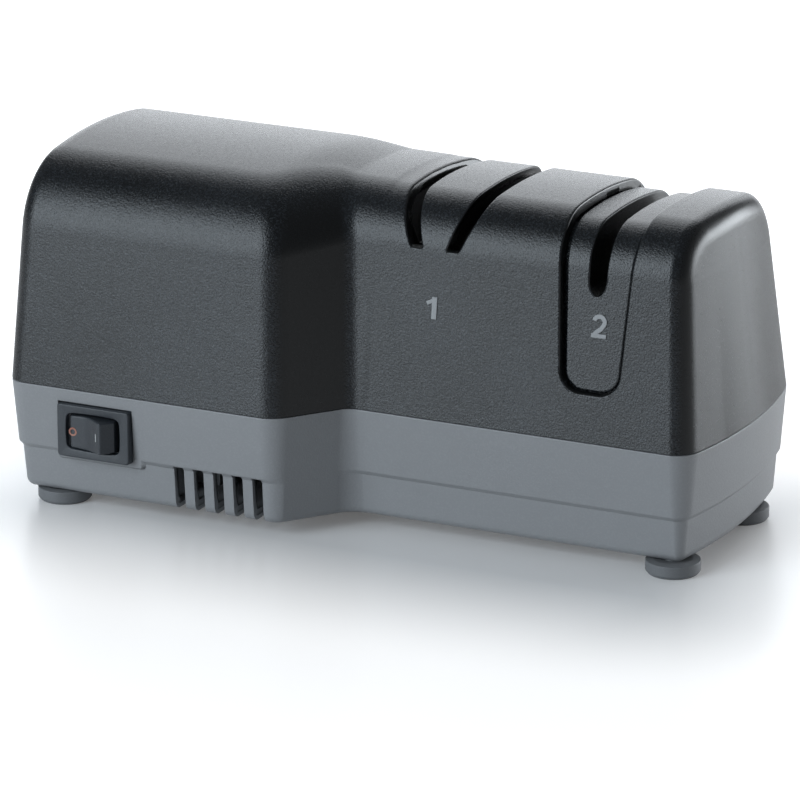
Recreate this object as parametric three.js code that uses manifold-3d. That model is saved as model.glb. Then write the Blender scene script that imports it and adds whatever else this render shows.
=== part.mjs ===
// Electric knife sharpener: a two-part plastic housing with a mains motor in its deep left end.
// One shaft carries the motor's rotor, the fan and the two abrasive disks of stage 1.
// Stage 2, on the right, is a hand stage: crossed honing wheels in a module of its own.
// Millimetres, +Z up. X runs along the length, the front faces -Y, and the origin is in the
// middle of the outline, on the surface that the rubber feet stand on.

import * as THREE from 'three';
import { mergeVertices } from 'three/addons/utils/BufferGeometryUtils.js';
import Module from 'manifold-3d';

const wasm = await Module();
wasm.setup();

// Motor and disks, which set the size of the housing round them
const core = { halfStack: 15, width: 52, above: 21, below: 42, round: 5 };
const fan = {
  fromCore: 12,
  radius: 24,
  hubRadius: 6.5,
  plate: 1.4,
  depth: 7,
  blade: 1.4,
  blades: 8,
};
const disk = {
  radius: 25,
  thickness: 1.6,
  hubRadius: 7.5,
  sleeveRadius: 6,
  edgeInset: 4,
  faceAtEdge: 5.3,
  coneShare: 0.21,
  hubOuter: 9.65,
  hubInner: 2.95,
  travel: 1.5,
};

// Driving dimensions of the whole sharpener: rooms and distances along X, across Y and up Z
const fanToLeft = 10.7;
const motorToCorner = 37;
const cornerToStageOne = 36.25;
const stageSpacing = 46.55;
const stageTwoToRight = 33;
const switchToMotor = 16.9;
const diskToFront = 7.1;
const coreToBack = 14.9;
const coreToFront = 24.1;
const footHeight = 4;
const floorThickness = 2.8;
const coreSeat = 11.2;
const diskToRoof = 9;
const roofStep = 3.4;
const seamHeight = 35;
const switchBelowSeam = 11.5;
const wall = 2.6;
const shaftRadius = 3;

const motorFromLeft = fanToLeft + fan.depth + fan.fromCore + core.halfStack;
const length = motorFromLeft + motorToCorner + cornerToStageOne + stageSpacing + stageTwoToRight;
const shaftFromBack = coreToBack + core.width / 2;
const mainDepth = shaftFromBack + disk.radius + diskToFront;
const bodyDepth = shaftFromBack + core.width / 2 + coreToFront;
const innerFloor = footHeight + floorThickness;
const shaftHeight = innerFloor + coreSeat + core.below;
const mainRoof = shaftHeight + disk.radius + diskToRoof;
const motorRoof = mainRoof + roofStep;
const switchHeight = seamHeight - switchBelowSeam;

// Clearance between pieces that touch, and how far every cut runs past what it cuts
const gap = 0.3;
const overrun = 3;

// Shape of the housing: drafts as shares of the height, rounds and crown as radii
const shell = {
  draftShare: 0.125,
  leftDraftShare: 0.03,
  rightDraftShare: 0.11,
  baseDraftShare: 0.0875,
  leftCorner: 6,
  leftTopRound: 5,
  rightCorner: 4.5,
  rightTopRound: 6,
  diagonalRound: 4,
  valleyRound: 6,
  motorEdgeRound: 22,
  mainEdgeRound: 16,
  smallestRound: 1.2,
  crownRadius: 150,
  apexBeforeShaft: 2,
  motorApexShift: 3.6,
  bowSag: 4.5,
  bowRun: 30,
  rampLag: 1.6,
  bandBelowSeam: 18.1,
  bandStep: 1,
  bandSlope: 0.5,
  bottomRound: 2.6,
};
const bandHeight = seamHeight - shell.bandBelowSeam;
const mainApexFromBack = shaftFromBack + shell.apexBeforeShaft;
const motorApexFromBack = mainApexFromBack + shell.motorApexShift;
const steps = {
  corner: 4,
  plan: 2,
  edge: 6,
  crown: 4,
  bow: 6,
  round: 24,
  small: 12,
  ramp: 5,
  settle: 30,
  lead: 12,
  leadQuarter: 4,
};

// Rocker switch: a standard panel switch, whose "on" side stands out of the frame at rest
const rocker = {
  halfLength: 7.2,
  halfWidth: 4.5,
  halfSwing: THREE.MathUtils.degToRad(17),
  pivotDepth: 3.6,
  foldHeight: 4.1,
  ridgeHeight: 5.7,
  ridgeOffset: 4.9,
  shoulderHeight: 1.6,
  bodyDepth: 4.4,
  taper: 1.6,
  pinRadius: 1,
  pinReach: 0.6,
};
const bezel = { width: 21.6, height: 15, proud: 2, bevel: 0.8 };
const rockerReach = rocker.ridgeOffset * Math.sin(rocker.halfSwing)
  + rocker.ridgeHeight * Math.cos(rocker.halfSwing) - rocker.pivotDepth;
const switchWallInset = shell.baseDraftShare * (seamHeight - switchHeight);
const frontReach = bezel.proud - switchWallInset + rockerReach;

// Main planes and axes
const left = -length / 2;
const right = length / 2;
const back = (bodyDepth + frontReach) / 2;
const front = back - bodyDepth;
const mainFront = back - mainDepth;
const mainMiddle = back - mainDepth / 2;
const motorX = left + motorFromLeft;
const cornerX = motorX + motorToCorner;
const valleyX = cornerX + bodyDepth - mainDepth;
const stageOneX = cornerX + cornerToStageOne;
const stageTwoX = right - stageTwoToRight;
const shaftY = back - shaftFromBack;
const switchX = motorX - switchToMotor;
const fullTurn = Math.PI * 2;
const quarterTurn = Math.PI / 2;

// Geometry helpers

function orient(geometry) {
  const place = geometry.getAttribute('position');
  const index = geometry.getIndex();
  const a = new THREE.Vector3();
  const b = new THREE.Vector3();
  const c = new THREE.Vector3();
  let volume = 0;
  for (let i = 0; i < index.count; i += 3) {
    a.fromBufferAttribute(place, index.getX(i));
    b.fromBufferAttribute(place, index.getX(i + 1));
    c.fromBufferAttribute(place, index.getX(i + 2));
    volume += a.dot(b.cross(c));
  }
  if (volume < 0) index.array.reverse();
  return geometry;
}

function solid(geometry) {
  geometry.deleteAttribute('normal');
  geometry.deleteAttribute('uv');
  const merged = mergeVertices(geometry);
  const vertProperties = new Float32Array(merged.getAttribute('position').array);
  const triVerts = new Uint32Array(merged.getIndex().array);
  return new wasm.Manifold(new wasm.Mesh({ numProp: 3, vertProperties, triVerts }));
}

function geometryOf(shape) {
  const mesh = shape.getMesh();
  const geometry = new THREE.BufferGeometry();
  geometry.setAttribute('position', new THREE.BufferAttribute(mesh.vertProperties, 3));
  geometry.setIndex(new THREE.BufferAttribute(mesh.triVerts, 1));
  geometry.computeVertexNormals();
  return geometry;
}

// A closed skin through rings of equal count, with flat(point) giving the plane of both end caps
function loft(rings, flat) {
  const count = rings[0].length;
  const index = [];
  for (let ring = 0; ring + 1 < rings.length; ring += 1) {
    for (let i = 0; i < count; i += 1) {
      const next = (i + 1) % count;
      const a = ring * count + i;
      const b = ring * count + next;
      index.push(a, b, b + count, a, b + count, a + count);
    }
  }
  const lastStart = (rings.length - 1) * count;
  for (const [start, ring, sign] of [[0, rings[0], -1], [lastStart, rings.at(-1), 1]]) {
    const outline = ring.map((point) => new THREE.Vector2(...flat(point)));
    const facing = Math.sign(THREE.ShapeUtils.area(outline)) * sign;
    for (const [i, j, k] of THREE.ShapeUtils.triangulateShape(outline, [])) {
      const turned = THREE.ShapeUtils.area([outline[i], outline[j], outline[k]]) * facing < 0;
      index.push(start + i, start + (turned ? k : j), start + (turned ? j : k));
    }
  }
  const geometry = new THREE.BufferGeometry();
  geometry.setAttribute('position', new THREE.Float32BufferAttribute(rings.flat(2), 3));
  geometry.setIndex(index);
  return solid(orient(geometry));
}

function box(x0, x1, y0, y1, z0, z1) {
  const geometry = new THREE.BoxGeometry(x1 - x0, y1 - y0, z1 - z0);
  return solid(geometry.translate((x0 + x1) / 2, (y0 + y1) / 2, (z0 + z1) / 2));
}

// A body of revolution about an axis along X, Y or Z, from closed [radius, along] pairs
function turned(profile, axis, centre, sides = steps.round) {
  const outline = profile.map(([radius, along]) => new THREE.Vector2(radius, along));
  const geometry = new THREE.LatheGeometry([...outline, outline[0].clone()], sides);
  if (axis === 'x') geometry.rotateZ(-quarterTurn);
  if (axis === 'z') geometry.rotateX(quarterTurn);
  geometry.translate(...centre);
  geometry.deleteAttribute('normal');
  geometry.deleteAttribute('uv');
  return solid(orient(mergeVertices(geometry)));
}

function rod(axis, radius, start, end, centre, sides = steps.round) {
  return turned([[0, start], [radius, start], [radius, end], [0, end]], axis, centre, sides);
}

function tube(axis, inner, outer, start, end, centre, sides = steps.round) {
  const profile = [[inner, start], [outer, start], [outer, end], [inner, end]];
  return turned(profile, axis, centre, sides);
}

// Straight prisms: a shape of [x, z] pairs or a Shape along Y, of [y, z] along X, of [x, y] along Z
const prismAxes = {
  x: [new THREE.Vector3(0, 1, 0), new THREE.Vector3(0, 0, 1), new THREE.Vector3(1, 0, 0)],
  y: [new THREE.Vector3(1, 0, 0), new THREE.Vector3(0, 0, 1), new THREE.Vector3(0, -1, 0)],
  z: [new THREE.Vector3(1, 0, 0), new THREE.Vector3(0, 1, 0), new THREE.Vector3(0, 0, 1)],
};

function prism(axis, outline, start, end, curveSegments = steps.corner) {
  const shape = Array.isArray(outline)
    ? new THREE.Shape(outline.map(([u, v]) => new THREE.Vector2(u, v)))
    : outline;
  const options = { depth: end - start, bevelEnabled: false, curveSegments };
  const geometry = new THREE.ExtrudeGeometry(shape, options);
  geometry.applyMatrix4(new THREE.Matrix4().makeBasis(...prismAxes[axis]));
  const along = { x: [start, 0, 0], y: [0, end, 0], z: [0, 0, start] }[axis];
  geometry.translate(...along);
  return solid(geometry);
}

// A rectangle with round corners, about a middle, as a Shape
function roundedRectangle(u, v, width, height, radius) {
  const halfU = width / 2 - radius;
  const halfV = height / 2 - radius;
  const shape = new THREE.Shape();
  shape.absarc(u + halfU, v - halfV, radius, -quarterTurn, 0);
  shape.absarc(u + halfU, v + halfV, radius, 0, quarterTurn);
  shape.absarc(u - halfU, v + halfV, radius, quarterTurn, Math.PI);
  shape.absarc(u - halfU, v - halfV, radius, Math.PI, Math.PI + quarterTurn);
  return shape;
}

function merge(shapes) {
  return shapes.reduce((whole, shape) => whole.add(shape));
}

function cutAll(whole, shapes) {
  return shapes.reduce((rest, shape) => rest.subtract(shape), whole);
}

const mix = (a, b, t) => a + (b - a) * t;
const ease = (t) => t * t * (3 - 2 * t);
const limit = (t) => Math.min(1, Math.max(0, t));

// Plan of the housing, as seen from above: a deep motor end, a diagonal, and a bowed right end

const planCorners = [
  { x: left, y: front, round: shell.leftCorner },
  { x: cornerX, y: front, round: shell.diagonalRound },
  { x: valleyX, y: mainFront, round: shell.valleyRound },
  { x: right, y: mainFront, round: shell.rightCorner },
  { x: right, y: back, round: shell.rightCorner },
  { x: left, y: back, round: shell.leftCorner },
];

function bow(x, y, z, draftShare) {
  const reach = limit((x - (right - shell.bowRun)) / shell.bowRun);
  const across = (y - mainMiddle) / (mainDepth / 2);
  return x - reach * (shell.bowSag * across * across + draftShare * (z - seamHeight));
}

// One horizontal ring of the housing, set in from the plan by an equal inset all round
function planRing(inset, z) {
  const ring = [];
  planCorners.forEach((corner, i) => {
    const before = planCorners.at(i - 1);
    const after = planCorners[(i + 1) % planCorners.length];
    const inward = new THREE.Vector2(corner.x - before.x, corner.y - before.y).normalize();
    const onward = new THREE.Vector2(after.x - corner.x, after.y - corner.y).normalize();
    const turn = Math.asin(inward.cross(onward));
    const side = Math.sign(turn);
    const normalIn = new THREE.Vector2(-inward.y, inward.x);
    const normalOn = new THREE.Vector2(-onward.y, onward.x);
    const spread = inset / (1 + normalIn.dot(normalOn));
    const radius = Math.max(corner.round - side * inset, shell.smallestRound);
    const reach = radius * Math.tan(Math.abs(turn) / 2);
    const startX = corner.x + (normalIn.x + normalOn.x) * spread - inward.x * reach;
    const startY = corner.y + (normalIn.y + normalOn.y) * spread - inward.y * reach;
    const centreX = startX + normalIn.x * radius * side;
    const centreY = startY + normalIn.y * radius * side;
    const startAngle = Math.atan2(startY - centreY, startX - centreX);
    for (let k = 0; k <= steps.corner; k += 1) {
      const angle = startAngle + (turn * k) / steps.corner;
      ring.push([centreX + radius * Math.cos(angle), centreY + radius * Math.sin(angle), z]);
    }
    if (corner.x === right && after.x === right) {
      const [x, y] = ring.at(-1);
      const farY = 2 * mainMiddle - y;
      for (let k = 1; k < steps.bow; k += 1) ring.push([x, mix(y, farY, k / steps.bow), z]);
    }
  });
  return ring.map(([x, y]) => [bow(x, y, seamHeight, 0), y, z]);
}

const planLoft = (pairs) => loft(pairs.map(([inset, z]) => planRing(inset, z)), ([x, y]) => [x, y]);

// Upper housing skin: upright sections along X, each a wall, a round, a crown, a round and a wall

const diagonalTurn = Math.PI / 4;
const leanShare = Math.tan(diagonalTurn / 2);
const cornerStart = cornerX - shell.diagonalRound * leanShare;
const valleyEnd = valleyX + shell.valleyRound * leanShare;

function frontLine(x) {
  const { diagonalRound, valleyRound } = shell;
  const cornerEnd = cornerStart + diagonalRound * Math.sin(diagonalTurn);
  const valleyStart = valleyEnd - valleyRound * Math.sin(diagonalTurn);
  if (x <= cornerStart) return front;
  if (x <= cornerEnd) {
    return front + diagonalRound - Math.sqrt(diagonalRound ** 2 - (x - cornerStart) ** 2);
  }
  if (x < valleyStart) return front + x - cornerX;
  if (x < valleyEnd) {
    return mainFront - valleyRound + Math.sqrt(valleyRound ** 2 - (x - valleyEnd) ** 2);
  }
  return mainFront;
}

function edgeCentre(wallY, side, radius, apexY, crownCentre, draftShare) {
  const slant = Math.hypot(1, draftShare);
  let z = seamHeight;
  let y = wallY;
  for (let i = 0; i < steps.settle; i += 1) {
    y = wallY + side * (draftShare * (z - seamHeight) + radius * slant);
    z = crownCentre + Math.sqrt((shell.crownRadius - radius) ** 2 - (y - apexY) ** 2);
  }
  return [y, z];
}

// One section at a station; a narrowing under 1 draws it in to the middle, to fill the bowed end
function section(station, skin, narrowing = 1) {
  const { x } = station;
  const main = ease(limit((x - cornerStart) / (valleyEnd - cornerStart)) ** shell.rampLag);
  const draftShare = shell.draftShare + skin.draftShare;
  const frontY = frontLine(x) + skin.side + station.side;
  const backY = back - skin.side - station.side;
  const apexY = back - mix(motorApexFromBack, mainApexFromBack, main);
  const roof = mix(motorRoof, mainRoof, main) - skin.roof - station.top;
  const crownCentre = roof - shell.crownRadius;
  const round = mix(shell.motorEdgeRound, shell.mainEdgeRound, main) - skin.roof;
  const [y0, z0] = edgeCentre(frontY, 1, round, apexY, crownCentre, draftShare);
  const [y1, z1] = edgeCentre(backY, -1, round, apexY, crownCentre, draftShare);
  const slope = Math.atan(draftShare);
  const frontAngle = Math.atan2(z0 - crownCentre, y0 - apexY);
  const backAngle = Math.atan2(z1 - crownCentre, y1 - apexY);
  const points = [[frontY + draftShare * (skin.bottom - seamHeight), skin.bottom]];
  const arc = (y, z, radius, from, to, count, first = 0) => {
    for (let k = first; k <= count; k += 1) {
      const angle = mix(from, to, k / count);
      points.push([y + radius * Math.cos(angle), z + radius * Math.sin(angle)]);
    }
  };
  arc(y0, z0, round, Math.PI - slope, frontAngle, steps.edge);
  const crownEnd = points.length;
  arc(apexY, crownCentre, shell.crownRadius, frontAngle, backAngle, steps.crown, 1);
  arc(y1, z1, round, backAngle, slope, steps.edge, 1);
  points.push([backY - draftShare * (skin.bottom - seamHeight), skin.bottom]);
  const lean = x >= cornerStart && x <= valleyEnd ? leanShare : 0;
  return points.map(([wide, z], i) => {
    const y = mainMiddle + (wide - mainMiddle) * narrowing;
    const inset = i < crownEnd ? wide - frontLine(x) : points[crownEnd - 1][0] - frontLine(x);
    const leftReach = limit((valleyX - x) / (valleyX - left));
    const shifted = x - lean * inset + leftReach * shell.leftDraftShare * (z - seamHeight);
    return [bow(shifted, y, z, shell.rightDraftShare), y, z];
  });
}

function coverLoft(skin) {
  const stations = [];
  const leftRound = Math.max(shell.leftCorner - skin.side, shell.smallestRound);
  const rightRound = Math.max(shell.rightCorner - skin.side, shell.smallestRound);
  const leftTop = Math.max(shell.leftTopRound - skin.roof, shell.smallestRound);
  const rightTop = Math.max(shell.rightTopRound - skin.roof, shell.smallestRound);
  for (let k = 0; k <= steps.corner; k += 1) {
    const angle = quarterTurn * (1 - k / steps.corner);
    const inward = 1 - Math.cos(angle);
    const x = left + skin.side + leftRound * (1 - Math.sin(angle));
    stations.push({ x, side: leftRound * inward, top: leftTop * inward });
  }
  const plain = (x) => stations.push({ x, side: 0, top: 0 });
  for (let k = 0; k <= steps.plan; k += 1) {
    plain(cornerStart + shell.diagonalRound * Math.sin((diagonalTurn * k) / steps.plan));
  }
  const from = stations.at(-1).x;
  const to = valleyEnd - shell.valleyRound * Math.sin(diagonalTurn);
  for (let k = 1; k < steps.ramp; k += 1) plain(mix(from, to, k / steps.ramp));
  for (let k = steps.plan; k >= 0; k -= 1) {
    plain(valleyEnd - shell.valleyRound * Math.sin((diagonalTurn * k) / steps.plan));
  }
  plain(right - shell.bowRun);
  for (let k = 0; k <= steps.corner; k += 1) {
    const angle = (quarterTurn * k) / steps.corner;
    const inward = 1 - Math.cos(angle);
    const x = right - skin.side - rightRound * (1 - Math.sin(angle));
    stations.push({ x, side: rightRound * inward, top: rightTop * inward });
  }
  const rings = stations.map((station) => section(station, skin));
  const endRing = stations.at(-1);
  for (let k = 1; k < steps.bow; k += 1) rings.push(section(endRing, skin, 1 - k / steps.bow));
  return loft(rings, ([, y, z]) => [y, z]);
}

const skinAt = (depth, bottom) => ({ side: depth, roof: depth, draftShare: 0, bottom });

// Openings of the two sharpening stages

const vSlot = {
  depth: 13.5,
  innerHalf: 3.55,
  width: 3.4,
  innerLeanShare: 0.32,
  outerLeanShare: 0.42,
};

const vSlotFloor = mainRoof - vSlot.depth;

// Cross-section of one leaning knife slot, on the left (-1) or the right (1) of the stage's middle
function vSlotShape(side, grow, floor = vSlotFloor) {
  const top = motorRoof + overrun;
  const rise = top - vSlotFloor;
  const inner = vSlot.innerHalf - grow;
  const outer = vSlot.innerHalf + vSlot.width + grow;
  const drop = vSlotFloor - floor;
  return [
    [stageOneX + side * (inner - vSlot.innerLeanShare * drop), floor],
    [stageOneX + side * (outer - vSlot.outerLeanShare * drop), floor],
    [stageOneX + side * (outer + vSlot.outerLeanShare * rise), top],
    [stageOneX + side * (inner + vSlot.innerLeanShare * rise), top],
  ];
}

const notch = { depth: 46.1, half: 8.55, leanShare: 0.0514, round: 6, gap: 0.9 };

// Outline of the notch that holds the stage 2 module, grown or shrunk by one amount all round
function notchShape(grow) {
  const top = motorRoof + overrun;
  const floor = mainRoof - notch.depth - grow;
  const half = notch.half + grow;
  const round = notch.round + grow;
  const topHalf = half + notch.leanShare * (top - floor);
  const shape = new THREE.Shape();
  shape.moveTo(stageTwoX + topHalf, top);
  shape.lineTo(stageTwoX - topHalf, top);
  shape.lineTo(stageTwoX - half, floor + round);
  shape.absarc(stageTwoX - half + round, floor + round, round, Math.PI, Math.PI + quarterTurn);
  shape.absarc(stageTwoX + half - round, floor + round, round, -quarterTurn, 0);
  return shape;
}

const handSlot = { depth: 19, width: 4.6, leanShare: 0.02 };
const handSlotFloor = mainRoof - handSlot.depth;

// The hand stage's upright slot, with a round floor
function handSlotShape(grow) {
  const half = handSlot.width / 2 + grow;
  const top = motorRoof + overrun;
  const topHalf = half + handSlot.leanShare * (top - handSlotFloor);
  const springLine = handSlotFloor + handSlot.width / 2;
  const shape = new THREE.Shape();
  shape.moveTo(stageTwoX + topHalf, top);
  shape.lineTo(stageTwoX - topHalf, top);
  shape.lineTo(stageTwoX - half, springLine);
  shape.absarc(stageTwoX, springLine, half, Math.PI, fullTurn);
  return shape;
}

// Screws that hold the two housing halves together, from below
const coverScrew = {
  shankRadius: 1.6,
  headRadius: 3.2,
  headHeight: 2.4,
  bossRadius: 5,
  postRadius: 4,
  webBelowSeam: 10,
  webThickness: 3,
  bite: 14,
  holeSpare: 2,
};
const coverScrewPlace = {
  front: { fromFront: 9.5 },
  rearLeft: { fromLeft: 26.2, fromBack: 9 },
  frontMiddle: { share: 0.37, fromMainFront: 10.5 },
  rearMiddle: { pastCorner: 4, fromBack: 9.5 },
  right: { fromRight: 15.3, fromMainFront: 21, fromBack: 26 },
};
function coverScrewList() {
  const { front: first, rearLeft, frontMiddle, rearMiddle, right: last } = coverScrewPlace;
  return [
    { name: 'front_left', x: motorX, y: front + first.fromFront },
    { name: 'rear_left', x: left + rearLeft.fromLeft, y: back - rearLeft.fromBack },
    {
      name: 'front_middle',
      x: mix(cornerX, stageOneX, frontMiddle.share),
      y: mainFront + frontMiddle.fromMainFront,
    },
    { name: 'rear_middle', x: cornerX + rearMiddle.pastCorner, y: back - rearMiddle.fromBack },
    { name: 'front_right', x: right - last.fromRight, y: mainFront + last.fromMainFront },
    { name: 'rear_right', x: right - last.fromRight, y: back - last.fromBack },
  ];
}
const coverScrews = coverScrewList();
const screwWebTop = seamHeight - coverScrew.webBelowSeam;

// Screws that hang the knife guide under the roof, one through an ear on each of its sides
const guideScrew = { shankRadius: 1.5, headRadius: 3, headHeight: 2.2, postRadius: 3.6, bite: 9 };
const guideBlock = { half: 15, frontInset: 11, backInset: 11, belowRoof: 26 };
const guideEar = { length: 9, width: 10, thickness: 3, belowRoof: 22, offset: 10 };
const earUnderside = mainRoof - guideEar.belowRoof;
const guideEars = [-1, 1].map((side) => ({
  name: side < 0 ? 'left' : 'right',
  side,
  x: stageOneX + side * (guideBlock.half + guideEar.length / 2),
  y: shaftY - side * guideEar.offset,
}));
const earTop = earUnderside + guideEar.thickness;

// The assembly: every piece is one named mesh, and what turns or stands together shares a group

const sharpener = new THREE.Group();

const finish = (color, roughness, metalness = 0) => (
  new THREE.MeshStandardMaterial({ color, roughness, metalness })
);
const coverPlastic = () => finish(0x2b2c2e, 0.5);
const basePlastic = () => finish(0x6f7173, 0.5);
const blackPlastic = () => finish(0x141414, 0.4);
const rubber = () => finish(0x5c5d5e, 0.85);
const steel = () => finish(0xb4b6b8, 0.35, 1);
const castZinc = () => finish(0x9a9c9f, 0.5, 1);
const bronze = () => finish(0x9c7142, 0.4, 1);

function piece(name, shape, material, parent = sharpener) {
  const mesh = new THREE.Mesh(geometryOf(shape), material);
  mesh.name = name;
  parent.add(mesh);
  return mesh;
}

function groupAt(x, y, z, parent = sharpener) {
  const group = new THREE.Group();
  group.position.set(x, y, z);
  parent.add(group);
  return group;
}

// Rubber feet: a round pad with a bevelled foot, and a stem pressed up into the base

const foot = {
  radius: 7.4,
  bevel: 0.9,
  stemRadius: 2.4,
  stemTop: 7.6,
  bossRadius: 7.6,
  bossTop: 12,
  fromLeft: 12.7,
  fromFront: 10.1,
  fromRight: 10.8,
  fromMainFront: 7.9,
  fromMainBack: 17.1,
};
const feet = [
  { name: 'front_left', x: left + foot.fromLeft, y: front + foot.fromFront },
  { name: 'front_right', x: right - foot.fromRight, y: mainFront + foot.fromMainFront },
  { name: 'rear_right', x: right - foot.fromRight, y: back - foot.fromMainBack },
  { name: 'rear_left', x: left + foot.fromLeft, y: back - foot.fromFront },
];
const footProfile = [
  [0, 0],
  [foot.radius - foot.bevel, 0],
  [foot.radius, foot.bevel],
  [foot.radius, footHeight - gap],
  [foot.stemRadius, footHeight - gap],
  [foot.stemRadius, foot.stemTop],
  [0, foot.stemTop],
];
for (const { name, x, y } of feet) {
  const stand = groupAt(x, y, 0);
  piece(`foot_${name}`, turned(footProfile, 'z', [0, 0, 0]), rubber(), stand);
}

// Base tray: the grey lower half, with a proud band above its foot rim, vents and all the seats

const rim = { thickness: 4.5, height: 7, slope: 2.5 };
const rimBottom = seamHeight - rim.height;
const lip = { inset: 3.3, rise: 2.5 };
const vent = { toCorner: 31.5, width: 3, pitch: 5.9, belowBand: 0.1, depth: 12, count: 5 };
const pad = { leftReach: 12.6, rightReach: 13.6, down: 9.5, up: 0.5, round: 3 };
const cradle = {
  halfLength: 11,
  width: 12,
  lipWidth: 4.7,
  lipRise: 6,
};
const coreBottom = shaftHeight - core.below;
const coreTop = shaftHeight + core.above;
const coreFront = shaftY - core.width / 2;
const coreBack = shaftY + core.width / 2;
const endPost = { share: 0.51, thickness: 6, halfTop: 8, halfBottom: 15, aboveShaft: 8 };
const endPostX = mix(stageOneX, stageTwoX, endPost.share);
const cleanOut = {
  plateLength: 28,
  plateWidth: 22,
  fromStage: 12.2,
  travel: 18,
  flange: 1.8,
  mouth: 1.3,
  plateThickness: 2.4,
  padSpare: 5,
  padRise: 3.5,
  chuteInset: 3,
};
const filingsMagnet = {
  length: 22,
  width: 8,
  height: 6,
  fromShaft: 17,
  ribThickness: 1.5,
  ribRise: 5.2,
};
const cleanOutPadTop = innerFloor + cleanOut.padRise;
const terminal = {
  beforeCoil: 1.7,
  fromShaft: -18,
  length: 11.5,
  width: 18,
  height: 9.5,
  screwRadius: 1.8,
  screwHeight: 3,
  screwSink: 0.8,
  screwFromFront: 4.5,
};
const inlet = {
  fromLeft: 13,
  belowSeam: 11,
  bore: 3.4,
  sleeve: 4.8,
  flangeRadius: 7,
  flangeThickness: 1.4,
  seatInset: 1.9,
  bossRadius: 8,
  bossInset: 5.5,
  nutRadius: 6,
  nutThickness: 2,
};
const switchBody = {
  width: 19.2,
  height: 12.9,
  depth: 14,
  openingSpare: 0.6,
  cavityDepth: 10.2,
  seatInset: 1.66,
  bladeWidth: 4.8,
  bladeThickness: 0.8,
  bladeReach: 6.5,
  bladeOffset: 4.6,
};
const inletX = left + inlet.fromLeft;
const inletHeight = seamHeight - inlet.belowSeam;
const cleanOutX = stageOneX - cleanOut.fromStage;
const cleanOutY = shaftY;
const cleanOutRun = cleanOut.plateLength + cleanOut.travel;
const cleanOutTop = footHeight + cleanOut.plateThickness;

const baseInset = (z) => shell.baseDraftShare * (seamHeight - z);
const footRimInset = (z) => baseInset(z) + shell.bandStep;

function baseOutside() {
  const top = seamHeight - gap / 2;
  const rings = [
    [baseInset(top), top],
    [baseInset(bandHeight), bandHeight],
    [footRimInset(bandHeight), bandHeight - shell.bandSlope],
  ];
  const roundStart = footHeight + shell.bottomRound;
  for (let k = 0; k <= steps.corner; k += 1) {
    const angle = (quarterTurn * k) / steps.corner;
    const inset = footRimInset(roundStart) + shell.bottomRound * (1 - Math.cos(angle));
    rings.push([inset, roundStart - shell.bottomRound * Math.sin(angle)]);
  }
  return planLoft(rings);
}

function baseInside() {
  const above = seamHeight + overrun;
  const under = rimBottom - rim.slope;
  return planLoft([
    [rim.thickness, above],
    [rim.thickness, rimBottom],
    [baseInset(under) + wall, under],
    [footRimInset(bandHeight) + wall, bandHeight],
    [footRimInset(innerFloor) + wall, innerFloor],
  ]);
}

function switchPad() {
  const [low, high] = [switchHeight - pad.down, switchHeight + pad.up];
  const middle = switchX + (pad.rightReach - pad.leftReach) / 2;
  const face = roundedRectangle(middle, (low + high) / 2, pad.leftReach + pad.rightReach,
    high - low, pad.round);
  const skin = planLoft([[baseInset(high), high], [baseInset(low), low]]);
  return skin.intersect(prism('y', face, front - overrun, front + shell.leftCorner));
}

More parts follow.
